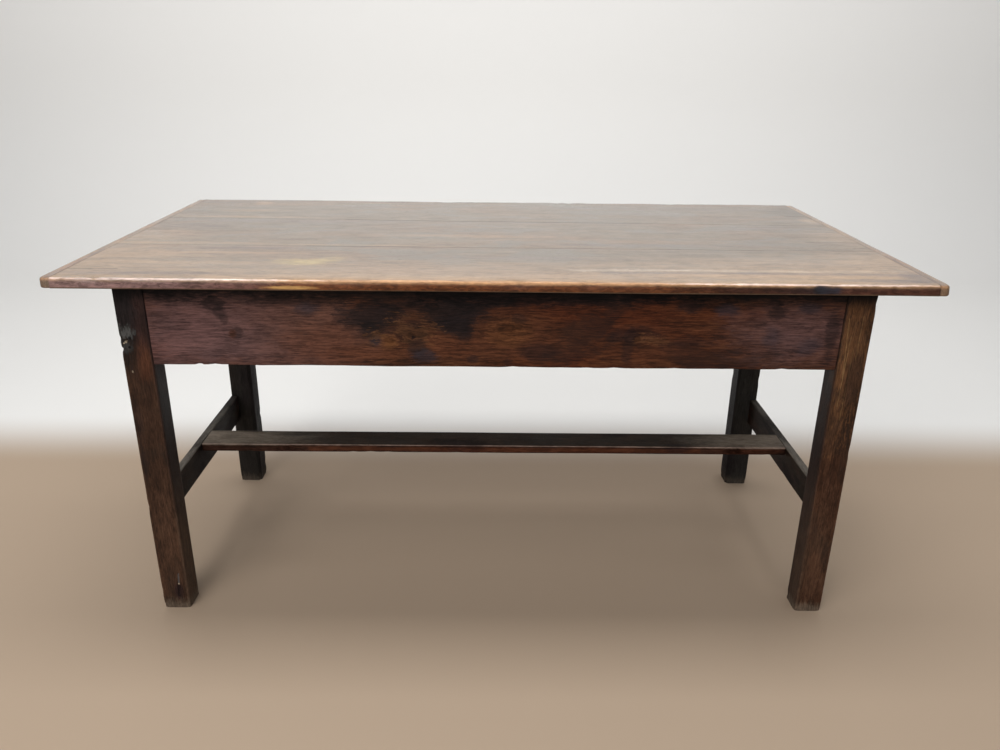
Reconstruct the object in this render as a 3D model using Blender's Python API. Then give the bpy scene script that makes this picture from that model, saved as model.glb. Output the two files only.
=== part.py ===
"""A country kitchen table in dark oak: three boards and two end cleats on a pegged frame.

Metres, +Z up. The origin is on the floor under the middle of the top. +X runs along the length to
the right, and -Y is the front. Four square legs are mortised for haunched apron tenons and for low
end stretchers, a flat centre stretcher ties those, and round pegs hold every tenon.
"""

import math
from collections import namedtuple

import bmesh
import bpy
from mathutils import Matrix, Vector

# The table over all
TOP_LENGTH = 1.620
TOP_DEPTH = 0.850
TABLE_HEIGHT = 0.780
END_OVERHANG = 0.078
SIDE_OVERHANG = 0.104

# Fits: FIT between pieces that touch, OVERRUN of a cut past a face, ROOT of a tenon in its board
FIT = 0.0003
OVERRUN = 0.010
ROOT = 0.002
MERGE = 0.00001

# The top: boards are wider at one end than at the other, as sawn, and the middle one fills the rest
TOP_THICK = 0.020
BACK_BOARD_LEFT = 0.272
BACK_BOARD_RIGHT = 0.303
FRONT_BOARD_LEFT = 0.278
FRONT_BOARD_RIGHT = 0.272
TOP_ARRIS = 0.005
UNDER_ARRIS = 0.003
JOINT_GAP = 0.0008
BOARD_TONGUE = 0.006
BOARD_TONGUE_THICK = 0.006

# The end cleats, and the tongues of the boards' ends that they are grooved for
CLEAT_WIDTH = 0.020
CLEAT_CORNER = 0.011
CLEAT_TONGUE = 0.009
CLEAT_TONGUE_THICK = 0.007
CLEAT_TONGUE_STOP = 0.022
CLEAT_TONGUE_INSET = 0.012

# The legs
LEG = 0.058
LEG_CHAMFER = 0.008
LEG_ARRIS = 0.002
FOOT_ROUND = 0.005

# The aprons, with haunched tenons
APRON_DEPTH = 0.182
APRON_THICK = 0.024
APRON_ARRIS = 0.0015
TENON_FACE = 0.008
TENON_THICK = 0.009
TENON_WALL = 0.007
TENON_SHOULDER = 0.014
HAUNCH_DEPTH = 0.034
HAUNCH_LENGTH = 0.010
HAUNCH_DROP = 0.001

# The end stretchers, on edge, flush with the legs' outer faces
STRETCHER_TOP = 0.266
STRETCHER_DEPTH = 0.070
STRETCHER_THICK = 0.018
STRETCHER_ARRIS = 0.002
STRETCHER_TENON_FACE = 0.005
STRETCHER_TENON_THICK = 0.008
STRETCHER_SHOULDER = 0.010

# The centre stretcher, flat, level with the tops of the end stretchers
CENTRE_WIDTH = 0.076
CENTRE_THICK = 0.020
CENTRE_ARRIS = 0.0015
CENTRE_TENON_DROP = 0.005
CENTRE_TENON_THICK = 0.009
CENTRE_TENON_SHOULDER = 0.010

# The pegs
PEG_RADIUS = 0.0045
PEG_WALL = 0.024
PEG_MARGIN = 0.030
PEG_STAGGER = 0.012
PEG_PROUD = 0.0006
PEG_ROUND = 0.0012
PEG_TAPER = 0.008
PEG_TIP_SHARE = 0.7
CENTRE_PEG_RADIUS = 0.003
CENTRE_PEG_LENGTH = 0.030

# The cross bearers under the top, each with a dovetail at both ends
BEARER_SPACING = 0.540
BEARER_WIDTH = 0.045
BEARER_DEPTH = 0.040
TAIL_LENGTH = 0.012
TAIL_DEPTH = 0.020
TAIL_ROOT = 0.028
TAIL_TIP = 0.036

# The bearers' screws
SCREW_RADIUS = 0.0022
SCREW_HEAD_RADIUS = 0.0045
SCREW_HEAD_DEPTH = 0.003
SCREW_SINK = 0.008
SCREW_COVER = 0.007
SCREW_TIP = 0.010
SCREW_TIP_SHARE = 0.2

# The cleats' nails, square in section: the radii run to their corners
NAIL_LENGTH = 0.045
NAIL_RADIUS = 0.0020
NAIL_TIP_SHARE = 0.5
NAIL_HEAD_RADIUS = 0.0035
NAIL_HEAD_THICK = 0.0015

# The glue blocks
BLOCK_LENGTH = 0.070
BLOCK_SIDE = 0.026
BLOCK_NOSE = 0.004

# How finely rounds are cut, and how sharp an edge stays crisp
SHARP_ANGLE = math.radians(35)
ARC_STEPS = 3
CORNER_STEPS = 4
FOOT_STEPS = 2
PEG_SIDES = 10
SCREW_SIDES = 10
NAIL_SIDES = 4

# Places that follow from the sizes above
TOP_UNDER = TABLE_HEIGHT - TOP_THICK
FRAME_TOP = TOP_UNDER - FIT
OUT_X = TOP_LENGTH / 2 - END_OVERHANG
OUT_Y = TOP_DEPTH / 2 - SIDE_OVERHANG
IN_X = OUT_X - LEG
IN_Y = OUT_Y - LEG
BOARD_END = TOP_LENGTH / 2 - CLEAT_WIDTH - JOINT_GAP
APRON_LOW = TOP_UNDER - APRON_DEPTH
APRON_IN_X = OUT_X - APRON_THICK
APRON_IN_Y = OUT_Y - APRON_THICK
TENON_LENGTH = LEG - TENON_FACE - TENON_THICK - TENON_WALL
TENON_LOW = APRON_LOW + TENON_SHOULDER
TENON_TOP = TOP_UNDER - HAUNCH_DEPTH
STRETCHER_LOW = STRETCHER_TOP - STRETCHER_DEPTH
STRETCHER_IN_X = OUT_X - STRETCHER_THICK
PEG_LENGTH = LEG - PEG_WALL
PEG_IN = TENON_LENGTH / 2
TOP_MIDDLE = TABLE_HEIGHT - TOP_THICK / 2
SCREW_LENGTH = BEARER_DEPTH - SCREW_SINK + TOP_THICK - SCREW_COVER

ENDS = {"left": -1, "right": 1}
SIDES = {"front": -1, "back": 1}

Fixing = namedtuple("Fixing", "name head outward profile hole sides")


def clear_scene():
    """Removes what a new file holds."""
    for thing in list(bpy.data.objects):
        bpy.data.objects.remove(thing)


def finish(name, colour, roughness, metallic=0):
    """A Principled material of one colour."""
    made = bpy.data.materials.new(name)
    made.use_nodes = True
    shader = made.node_tree.nodes["Principled BSDF"]
    shader.inputs["Base Color"].default_value = (*colour, 1)
    shader.inputs["Roughness"].default_value = roughness
    shader.inputs["Metallic"].default_value = metallic
    made.diffuse_color = (*colour, 1)
    return made


def make_object(name, shape):
    """Turns a bmesh into an object."""
    mesh = bpy.data.meshes.new(name)
    shape.to_mesh(mesh)
    shape.free()
    made = bpy.data.objects.new(name, mesh)
    bpy.context.collection.objects.link(made)
    return made


def piece(name, shape, material, origin, parent):
    """A piece of the table, modelled in place, with its own origin, smooth rounds and crisp arrises."""
    bmesh.ops.translate(shape, verts=shape.verts, vec=-Vector(origin))
    made = make_object(name, shape)
    made.data.shade_smooth()
    made.data.set_sharp_from_angle(angle=SHARP_ANGLE)
    made.data.materials.append(material)
    made.location = origin
    made.parent = parent
    return made


def boolean(target, shape, operation):
    """Adds a tool body to a piece, or takes it away, and hides the tool."""
    tool = make_object("tool_%s_%d" % (target.name, len(target.modifiers)), shape)
    tool.hide_render = True
    tool.display_type = "WIRE"
    step = target.modifiers.new(operation.lower(), "BOOLEAN")
    step.operation = operation
    step.object = tool
    return tool


def cut(target, shape):
    """Takes a shape out of a piece."""
    return boolean(target, shape, "DIFFERENCE")


def join(target, shape):
    """Makes a shape one with a piece."""
    return boolean(target, shape, "UNION")


def lift(point, height, axis):
    """The place of a point of an outline at a height along X, Y or Z."""
    first, second = point
    if axis == "X":
        return Vector((height, first, second))
    if axis == "Y":
        return Vector((first, height, second))
    return Vector((first, second, height))


def loft(sections, places, axis):
    """A closed body through sections of as many points each, at their places along X, Y or Z."""
    shape = bmesh.new()
    rings = []
    for section, place in zip(sections, places):
        rings.append([shape.verts.new(lift(point, place, axis)) for point in section])
    for ring, following in zip(rings, rings[1:]):
        for index, corner in enumerate(ring):
            shape.faces.new((ring[index - 1], corner, following[index], following[index - 1]))
    shape.faces.new(rings[0])
    shape.faces.new(rings[-1])
    bmesh.ops.recalc_face_normals(shape, faces=shape.faces)
    return shape


def prism(outline, low, high, axis):
    """An outline, in the two directions across the axis, drawn out from low to high along it."""
    return loft([outline, outline], [low, high], axis)


def block(low, high):
    """A box between two corners."""
    size = Vector(high) - Vector(low)
    middle = (Vector(high) + Vector(low)) / 2
    shape = bmesh.new()
    place = Matrix.Translation(middle) @ Matrix.Diagonal((*size, 1))
    bmesh.ops.create_cube(shape, size=1, matrix=place)
    return shape


def mirrored(shape, end, side):
    """A shape of the right back quarter, carried to another quarter of the table."""
    bmesh.ops.scale(shape, vec=(end, side, 1), verts=shape.verts)
    if end * side < 0:
        bmesh.ops.reverse_faces(shape, faces=shape.faces)
    return shape


def rounded(low, high, radii, steps=ARC_STEPS):
    """A rectangle with its own radius at each corner, from the low one round by the high second one.

    One step makes a chamfer, and a radius of zero leaves the corner sharp.
    """
    (left, bottom), (right, top) = low, high
    corners = [(left, bottom, 1, 1), (right, bottom, -1, 1), (right, top, -1, -1), (left, top, 1, -1)]
    points = []
    for turn, ((first, second, inward, upward), radius) in enumerate(zip(corners, radii)):
        if radius == 0:
            points.append((first, second))
            continue
        centre = (first + inward * radius, second + upward * radius)
        for step in range(steps + 1):
            angle = math.pi * (1 + turn / 2 + step / steps / 2)
            points.append((centre[0] + radius * math.cos(angle), centre[1] + radius * math.sin(angle)))
    return points


def quarter_round(radius, share):
    """How far in and how far up a round edge is at a share of its quarter turn, from its flat face."""
    angle = math.pi / 2 * share
    return radius * (1 - math.sin(angle)), radius * (1 - math.cos(angle))


def turned(profile, sides):
    """A turned body on +Z from a profile of (radius, height), with a flat of it facing each way."""
    shape = bmesh.new()
    reach = [(0, profile[0][1]), *profile, (0, profile[-1][1])]
    line = [shape.verts.new((radius, 0, height)) for radius, height in reach]
    edges = [shape.edges.new(pair) for pair in zip(line, line[1:])]
    up = (0, 0, 1)
    bmesh.ops.spin(shape, geom=line + edges, cent=(0, 0, 0), axis=up, angle=2 * math.pi, steps=sides,
                   use_merge=True)
    bmesh.ops.remove_doubles(shape, verts=shape.verts, dist=MERGE)
    half_turn = Matrix.Rotation(math.pi / sides, 3, "Z")
    bmesh.ops.rotate(shape, cent=(0, 0, 0), matrix=half_turn, verts=shape.verts)
    bmesh.ops.recalc_face_normals(shape, faces=shape.faces)
    return shape


def stand(thing, fixing):
    """Puts a turned body at a fixing's head, with its top end outwards."""
    thing.location = fixing.head
    thing.rotation_euler = Vector((0, 0, 1)).rotation_difference(fixing.outward).to_euler()


def place_fixing(fixing, material, parent):
    """The peg, screw or nail itself."""
    made = piece(fixing.name, turned(fixing.profile, fixing.sides), material, (0, 0, 0), parent)
    stand(made, fixing)


def drill(target, fixing):
    """The hole for a fixing, in one of the pieces that it goes through."""
    stand(cut(target, turned(fixing.hole, fixing.sides)), fixing)


def across(sides):
    """FIT measured square to the flats of a body with that many sides."""
    return FIT / math.cos(math.pi / sides)


def make_peg(name, head, outward, radius=PEG_RADIUS, length=PEG_LENGTH):
    """A round peg, a little proud of its hole, tapered where it was driven in."""
    clear = radius + across(PEG_SIDES)
    profile = [
        (radius - PEG_ROUND, PEG_PROUD),
        (radius, PEG_PROUD - PEG_ROUND),
        (radius, PEG_TAPER - length),
        (radius * PEG_TIP_SHARE, -length),
    ]
    hole = [(clear, OVERRUN), (clear, -length - FIT)]
    return Fixing(name, Vector(head), Vector(outward), profile, hole, PEG_SIDES)


def make_screw(name, head):
    """A countersunk screw that points up, at the bottom of its pocket in a bearer."""
    clear = across(SCREW_SIDES)
    profile = [
        (SCREW_HEAD_RADIUS, 0),
        (SCREW_RADIUS, -SCREW_HEAD_DEPTH),
        (SCREW_RADIUS, SCREW_TIP - SCREW_LENGTH),
        (SCREW_RADIUS * SCREW_TIP_SHARE, -SCREW_LENGTH),
    ]
    hole = [
        (SCREW_HEAD_RADIUS + clear, SCREW_SINK + OVERRUN),
        (SCREW_HEAD_RADIUS + clear, 0),
        (SCREW_RADIUS + clear, -SCREW_HEAD_DEPTH),
        (SCREW_RADIUS + clear, -SCREW_LENGTH - FIT),
    ]
    return Fixing(name, Vector(head), Vector((0, 0, -1)), profile, hole, SCREW_SIDES)


def make_nail(name, head, outward):
    """A cut nail, square in section, with its head level with the wood."""
    clear = across(NAIL_SIDES)
    profile = [
        (NAIL_HEAD_RADIUS, 0),
        (NAIL_HEAD_RADIUS, -NAIL_HEAD_THICK),
        (NAIL_RADIUS, -NAIL_HEAD_THICK),
        (NAIL_RADIUS * NAIL_TIP_SHARE, -NAIL_LENGTH),
    ]
    hole = [
        (NAIL_HEAD_RADIUS + clear, OVERRUN),
        (NAIL_HEAD_RADIUS + clear, -NAIL_HEAD_THICK - FIT),
        (NAIL_RADIUS + clear, -NAIL_HEAD_THICK - FIT),
        (NAIL_RADIUS * NAIL_TIP_SHARE + clear, -NAIL_LENGTH - FIT),
    ]
    return Fixing(name, Vector(head), Vector(outward), profile, hole, NAIL_SIDES)


def corner_pegs(end_name, side_name):
    """The pegs of one leg, by the rail whose tenon they hold."""
    end = ENDS[end_name]
    side = SIDES[side_name]
    at = "%s_%s" % (side_name, end_name)
    apron_low = TENON_LOW + PEG_MARGIN
    apron_high = TENON_TOP - PEG_MARGIN
    stretcher_middle = STRETCHER_TOP - STRETCHER_DEPTH / 2
    long_x = end * (IN_X + PEG_IN)
    end_y = side * (IN_Y + PEG_IN)
    from_side = (0, side, 0)
    from_end = (end, 0, 0)
    return {
        "apron": [
            make_peg("peg_apron_%s_low" % at, (long_x, side * OUT_Y, apron_low), from_side),
            make_peg("peg_apron_%s_high" % at, (long_x, side * OUT_Y, apron_high), from_side),
        ],
        "end_apron": [
            make_peg("peg_end_apron_%s_low" % at, (end * OUT_X, end_y, apron_low + PEG_STAGGER), from_end),
            make_peg("peg_end_apron_%s_high" % at, (end * OUT_X, end_y, apron_high - PEG_STAGGER), from_end),
        ],
        "stretcher": [
            make_peg("peg_stretcher_%s" % at, (end * OUT_X, end_y, stretcher_middle), from_end),
        ],
    }


def haunched_outline(start, root, clear, top):
    """The side view of an apron's tenon, or of its mortise where it is clear of the tenon."""
    low = TENON_LOW - clear
    waist = TENON_TOP + clear
    tip = start + TENON_LENGTH + clear
    haunch = start + HAUNCH_LENGTH + clear
    back = start - root
    return [(back, low), (tip, low), (tip, waist), (haunch, waist), (haunch, top), (back, top)]


def apron_tenon(long_way):
    """The tenon of a long apron, or of an end apron, in the right back leg."""
    top = FRAME_TOP - HAUNCH_DROP
    start, face, axis = (IN_X, OUT_Y, "Y") if long_way else (IN_Y, OUT_X, "X")
    outline = haunched_outline(start, ROOT, 0, top)
    return prism(outline, face - TENON_FACE - TENON_THICK, face - TENON_FACE, axis)


def apron_mortise(long_way):
    """The mortise for that tenon, open at the top of the leg over the haunch."""
    top = FRAME_TOP + OVERRUN
    start, face, axis = (IN_X, OUT_Y, "Y") if long_way else (IN_Y, OUT_X, "X")
    outline = haunched_outline(start, OVERRUN, FIT, top)
    return prism(outline, face - TENON_FACE - TENON_THICK - FIT, face - TENON_FACE + FIT, axis)


def stretcher_tenon(root, clear):
    """The tenon of an end stretcher in the right back leg, or its mortise where it is clear of that."""
    outer = OUT_X - STRETCHER_TENON_FACE + clear
    inner = OUT_X - STRETCHER_TENON_FACE - STRETCHER_TENON_THICK - clear
    low = STRETCHER_LOW + STRETCHER_SHOULDER - clear
    high = STRETCHER_TOP - STRETCHER_SHOULDER + clear
    return block((inner, IN_Y - root, low), (outer, IN_Y + TENON_LENGTH + clear, high))


def centre_tenon(root, clear, reach):
    """The through tenon at the centre stretcher's right end, or its mortise."""
    half = CENTRE_WIDTH / 2 - CENTRE_TENON_SHOULDER + clear
    high = STRETCHER_TOP - CENTRE_TENON_DROP + clear
    low = STRETCHER_TOP - CENTRE_TENON_DROP - CENTRE_TENON_THICK - clear
    return block((STRETCHER_IN_X - root, -half, low), (OUT_X + reach, half, high))


def leg_plan(inset):
    """The plan of the right back leg, its inside corner taken off, drawn in all round by an inset."""
    low = (IN_X + inset, IN_Y + inset)
    high = (OUT_X - inset, OUT_Y - inset)
    plan = rounded(low, high, (0, LEG_ARRIS, LEG_ARRIS, LEG_ARRIS))
    plan[0:1] = [(low[0], low[1] + LEG_CHAMFER), (low[0] + LEG_CHAMFER, low[1])]
    return plan


def build_leg(end_name, side_name, material, parent):
    """A square leg: inside corner taken off, foot worn round, mortised and bored."""
    end = ENDS[end_name]
    side = SIDES[side_name]
    foot = [quarter_round(FOOT_ROUND, step / FOOT_STEPS) for step in range(FOOT_STEPS + 1)]
    plans = [leg_plan(inset) for inset, rise in foot]
    shape = loft([*plans, leg_plan(0)], [*(rise for inset, rise in foot), FRAME_TOP], "Z")
    middle = (end * (IN_X + OUT_X) / 2, side * (IN_Y + OUT_Y) / 2, 0)
    leg = piece("leg_%s_%s" % (side_name, end_name), mirrored(shape, end, side), material, middle, parent)
    cut(leg, mirrored(apron_mortise(True), end, side))
    cut(leg, mirrored(apron_mortise(False), end, side))
    cut(leg, mirrored(stretcher_tenon(OVERRUN, FIT), end, side))
    for pegs in corner_pegs(end_name, side_name).values():
        for peg in pegs:
            drill(leg, peg)
            place_fixing(peg, material, parent)
    return leg


def build_long_apron(side_name, material, parent):
    """A long apron, with a tenon at each end and a socket for each bearer in its top edge."""
    side = SIDES[side_name]
    section = rounded((APRON_IN_Y, APRON_LOW), (OUT_Y, FRAME_TOP), (APRON_ARRIS, APRON_ARRIS, 0, 0))
    shape = prism(section, -IN_X + FIT, IN_X - FIT, "X")
    middle = (0, side * (APRON_IN_Y + OUT_Y) / 2, APRON_LOW)
    apron = piece("apron_%s" % side_name, mirrored(shape, 1, side), material, middle, parent)
    for end_name, end in ENDS.items():
        join(apron, mirrored(apron_tenon(True), end, side))
        for peg in corner_pegs(end_name, side_name)["apron"]:
            drill(apron, peg)
        cut(apron, mirrored(tail_socket(), end, side))
    return apron


def build_end_apron(end_name, material, parent):
    """An end apron, with a tenon at each end."""
    end = ENDS[end_name]
    section = rounded((APRON_IN_X, APRON_LOW), (OUT_X, FRAME_TOP), (APRON_ARRIS, APRON_ARRIS, 0, 0))
    shape = prism(section, -IN_Y + FIT, IN_Y - FIT, "Y")
    middle = (end * (APRON_IN_X + OUT_X) / 2, 0, APRON_LOW)
    apron = piece("apron_%s" % end_name, mirrored(shape, end, 1), material, middle, parent)
    for side_name, side in SIDES.items():
        join(apron, mirrored(apron_tenon(False), end, side))
        for peg in corner_pegs(end_name, side_name)["end_apron"]:
            drill(apron, peg)
    return apron


def centre_peg(end_name):
    """The peg down through an end stretcher and the centre stretcher's tenon."""
    head = (ENDS[end_name] * (OUT_X - STRETCHER_THICK / 2), 0, STRETCHER_TOP)
    return make_peg("peg_centre_%s" % end_name, head, (0, 0, 1), CENTRE_PEG_RADIUS, CENTRE_PEG_LENGTH)


def build_end_stretcher(end_name, material, parent):
    """An end stretcher on edge, mortised right through for the centre stretcher."""
    end = ENDS[end_name]
    radii = [STRETCHER_ARRIS] * 4
    section = rounded((STRETCHER_IN_X, STRETCHER_LOW), (OUT_X, STRETCHER_TOP), radii)
    shape = prism(section, -IN_Y + FIT, IN_Y - FIT, "Y")
    middle = (end * (STRETCHER_IN_X + OUT_X) / 2, 0, STRETCHER_LOW)
    rail = piece("end_stretcher_%s" % end_name, mirrored(shape, end, 1), material, middle, parent)
    for side_name, side in SIDES.items():
        join(rail, mirrored(stretcher_tenon(ROOT, 0), end, side))
        for peg in corner_pegs(end_name, side_name)["stretcher"]:
            drill(rail, peg)
    cut(rail, mirrored(centre_tenon(OVERRUN, FIT, OVERRUN), end, 1))
    drill(rail, centre_peg(end_name))
    place_fixing(centre_peg(end_name), material, parent)
    return rail


def build_centre_stretcher(material, parent):
    """The flat centre stretcher, with a through tenon at each end."""
    radii = [CENTRE_ARRIS] * 4
    low = STRETCHER_TOP - CENTRE_THICK
    section = rounded((-CENTRE_WIDTH / 2, low), (CENTRE_WIDTH / 2, STRETCHER_TOP), radii)
    shape = prism(section, -STRETCHER_IN_X + FIT, STRETCHER_IN_X - FIT, "X")
    rail = piece("centre_stretcher", shape, material, (0, 0, low), parent)
    for end_name, end in ENDS.items():
        join(rail, mirrored(centre_tenon(ROOT, 0, -FIT), end, 1))
        drill(rail, centre_peg(end_name))
    return rail


def tail_plan(clear, root):
    """The plan of a bearer's dovetail, drawn out from the inner face of the back apron."""
    middle = BEARER_SPACING / 2
    narrow = TAIL_ROOT / 2 + clear
    wide = TAIL_TIP / 2 + clear
    start = APRON_IN_Y - FIT
    tip = APRON_IN_Y + TAIL_LENGTH + clear
    return [(middle - narrow, start - root), (middle + narrow, start - root), (middle + narrow, start),
            (middle + wide, tip), (middle - wide, tip), (middle - narrow, start)]


def tail_socket():
    """The socket for a dovetail in the back apron's top edge, on the right."""
    return prism(tail_plan(FIT, OVERRUN), TOP_UNDER - TAIL_DEPTH - FIT, FRAME_TOP + OVERRUN, "Z")


def bearer_screws(end_name):
    """One screw for each board, through a bearer."""
    at = ENDS[end_name] * BEARER_SPACING / 2
    low = TOP_UNDER - BEARER_DEPTH + SCREW_SINK
    screws = []
    for board in ("front", "middle", "back"):
        near, far = board_edges(board, at)
        screws.append(make_screw("bearer_screw_%s_%s" % (board, end_name), (at, (near + far) / 2, low)))
    return screws


def build_bearer(end_name, material, steel, parent):
    """A cross bearer: a bar whose upper half runs on as a dovetail at both ends."""
    end = ENDS[end_name]
    half = BEARER_WIDTH / 2
    middle = BEARER_SPACING / 2
    face = APRON_IN_Y - FIT
    waist = TOP_UNDER - TAIL_DEPTH
    tail = tail_plan(0, 0)
    far_end = [(middle - half, face), *reversed(tail[2:]), (middle + half, face)]
    near_end = [(x, -y) for x, y in reversed(far_end)]
    upper = prism([*near_end, *far_end], waist, FRAME_TOP, "Z")
    shape = block((middle - half, -face, TOP_UNDER - BEARER_DEPTH), (middle + half, face, waist + ROOT))
    bearer = piece("bearer_%s" % end_name, mirrored(upper, end, 1), material,
                   (end * middle, 0, waist), parent)
    join(bearer, mirrored(shape, end, 1))
    for screw in bearer_screws(end_name):
        drill(bearer, screw)
        place_fixing(screw, steel, parent)
    return bearer


def build_glue_block(name, middle, turn, material, parent):
    """A three-cornered block glued in the angle of an apron and the top; turn faces it to its apron."""
    side, nose = -BLOCK_SIDE, -BLOCK_NOSE
    plan = [(0, 0), (0, side), (nose, side), (side, nose), (side, 0)]
    shape = prism(plan, -BLOCK_LENGTH / 2, BLOCK_LENGTH / 2, "X")
    made = piece(name, shape, material, (0, 0, 0), parent)
    made.location = middle
    made.rotation_euler.z = turn
    return made


def build_glue_blocks(material, parent):
    """Two blocks on each long apron, half way from bearer to leg, and one on each end apron."""
    along = (BEARER_SPACING / 2 + BEARER_WIDTH / 2 + IN_X) / 2
    high = FRAME_TOP
    for side_name, side in SIDES.items():
        turn = 0 if side > 0 else math.pi
        for end_name, end in ENDS.items():
            middle = (end * along, side * (APRON_IN_Y - FIT), high)
            build_glue_block("glue_block_%s_%s" % (side_name, end_name), middle, turn, material, parent)
    for end_name, end in ENDS.items():
        middle = (end * (APRON_IN_X - FIT), 0, high)
        build_glue_block("glue_block_%s" % end_name, middle, -end * math.pi / 2, material, parent)


def joint_line(joint, along):
    """How far back the joint between two boards lies at a place along the table."""
    right_share = (along + TOP_LENGTH / 2) / TOP_LENGTH
    if joint == "back":
        left, right = TOP_DEPTH / 2 - BACK_BOARD_LEFT, TOP_DEPTH / 2 - BACK_BOARD_RIGHT
    else:
        left, right = FRONT_BOARD_LEFT - TOP_DEPTH / 2, FRONT_BOARD_RIGHT - TOP_DEPTH / 2
    return left + (right - left) * right_share


def board_edges(board, along):
    """The front and back edges of a top board at a place along the table."""
    front_joint = joint_line("front", along)
    back_joint = joint_line("back", along)
    gap = JOINT_GAP / 2
    edges = {
        "front": (-TOP_DEPTH / 2, front_joint - gap),
        "middle": (front_joint + gap, back_joint - gap),
        "back": (back_joint + gap, TOP_DEPTH / 2),
    }
    return edges[board]


def nosed_edge(edge, outward):
    """The worn round edge of the top, from under to over."""
    points = []
    for step in range(ARC_STEPS + 1):
        inset, rise = quarter_round(UNDER_ARRIS, step / ARC_STEPS)
        points.append((edge - outward * inset, TOP_UNDER + rise))
    for step in reversed(range(ARC_STEPS + 1)):
        inset, rise = quarter_round(TOP_ARRIS, step / ARC_STEPS)
        points.append((edge - outward * inset, TABLE_HEIGHT - rise))
    return points


def tongued_edge(edge, outward):
    """An edge with a tongue along its middle."""
    half = BOARD_TONGUE_THICK / 2
    tip = edge + outward * (BOARD_TONGUE + JOINT_GAP)
    low, high = TOP_MIDDLE - half, TOP_MIDDLE + half
    return [(edge, TOP_UNDER), (edge, low), (tip, low), (tip, high), (edge, high), (edge, TABLE_HEIGHT)]


def grooved_edge(edge, outward):
    """An edge with a groove along its middle."""
    half = BOARD_TONGUE_THICK / 2 + FIT
    floor = edge - outward * (BOARD_TONGUE + FIT)
    low, high = TOP_MIDDLE - half, TOP_MIDDLE + half
    return [(edge, TOP_UNDER), (edge, low), (floor, low), (floor, high), (edge, high), (edge, TABLE_HEIGHT)]


BOARD_FORMS = {
    "front": (nosed_edge, tongued_edge),
    "middle": (grooved_edge, tongued_edge),
    "back": (grooved_edge, nosed_edge),
}


def board_section(board, along):
    """A top board's cross section at a place along the table."""
    near, far = board_edges(board, along)
    near_form, far_form = BOARD_FORMS[board]
    return [*reversed(near_form(near, -1)), *far_form(far, 1)]


def end_tongue(board, end):
    """The tongue of a board's end, kept back from the board's edges."""
    near, far = board_edges(board, end * BOARD_END)
    near += CLEAT_TONGUE_STOP if board == "front" else CLEAT_TONGUE_INSET
    far -= CLEAT_TONGUE_STOP if board == "back" else CLEAT_TONGUE_INSET
    half = CLEAT_TONGUE_THICK / 2
    shape = block((BOARD_END - ROOT, near, TOP_MIDDLE - half),
                  (BOARD_END + JOINT_GAP + CLEAT_TONGUE, far, TOP_MIDDLE + half))
    return mirrored(shape, end, 1)


def cleat_nail(board, end_name):
    """The nail through a cleat into the end of one board."""
    end = ENDS[end_name]
    near, far = board_edges(board, end * BOARD_END)
    head = (end * TOP_LENGTH / 2, (near + far) / 2, TOP_MIDDLE)
    return make_nail("cleat_nail_%s_%s" % (board, end_name), head, (end, 0, 0))


def build_board(board, material, parent):
    """A top board, tongued or grooved along its edges and tongued at its ends."""
    places = [end * BOARD_END for end in ENDS.values()]
    shape = loft([board_section(board, place) for place in places], places, "X")
    near, far = board_edges(board, 0)
    made = piece("top_board_%s" % board, shape, material, (0, (near + far) / 2, TOP_UNDER), parent)
    for end_name, end in ENDS.items():
        join(made, end_tongue(board, end))
        drill(made, cleat_nail(board, end_name))
        for screw in bearer_screws(end_name):
            if board in screw.name:
                drill(made, screw)
    return made


def cleat_plan(start, inset):
    """The plan of the right cleat, drawn in by an inset on its outer three sides."""
    far = TOP_DEPTH / 2 - inset
    radius = CLEAT_CORNER - inset
    return rounded((start, -far), (TOP_LENGTH / 2 - inset, far), (0, radius, radius, 0), CORNER_STEPS)


def build_cleat(end_name, material, steel, parent):
    """An end cleat: a narrow strip, rounded at its outer corners and grooved for the boards' tongues."""
    end = ENDS[end_name]
    start = TOP_LENGTH / 2 - CLEAT_WIDTH
    plans = []
    heights = []
    for step in range(ARC_STEPS + 1):
        inset, rise = quarter_round(UNDER_ARRIS, step / ARC_STEPS)
        plans.append(cleat_plan(start, inset))
        heights.append(TOP_UNDER + rise)
    for step in reversed(range(ARC_STEPS + 1)):
        inset, rise = quarter_round(TOP_ARRIS, step / ARC_STEPS)
        plans.append(cleat_plan(start, inset))
        heights.append(TABLE_HEIGHT - rise)
    shape = loft(plans, heights, "Z")
    cleat = piece("end_cleat_%s" % end_name, mirrored(shape, end, 1), material,
                  (end * start, 0, TOP_UNDER), parent)
    half = CLEAT_TONGUE_THICK / 2 + FIT
    reach = TOP_DEPTH / 2 - CLEAT_TONGUE_STOP + FIT
    floor = start + CLEAT_TONGUE + FIT
    groove = block((start - OVERRUN, -reach, TOP_MIDDLE - half), (floor, reach, TOP_MIDDLE + half))
    cut(cleat, mirrored(groove, end, 1))
    for board in BOARD_FORMS:
        nail = cleat_nail(board, end_name)
        drill(cleat, nail)
        place_fixing(nail, steel, parent)
    return cleat


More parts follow.
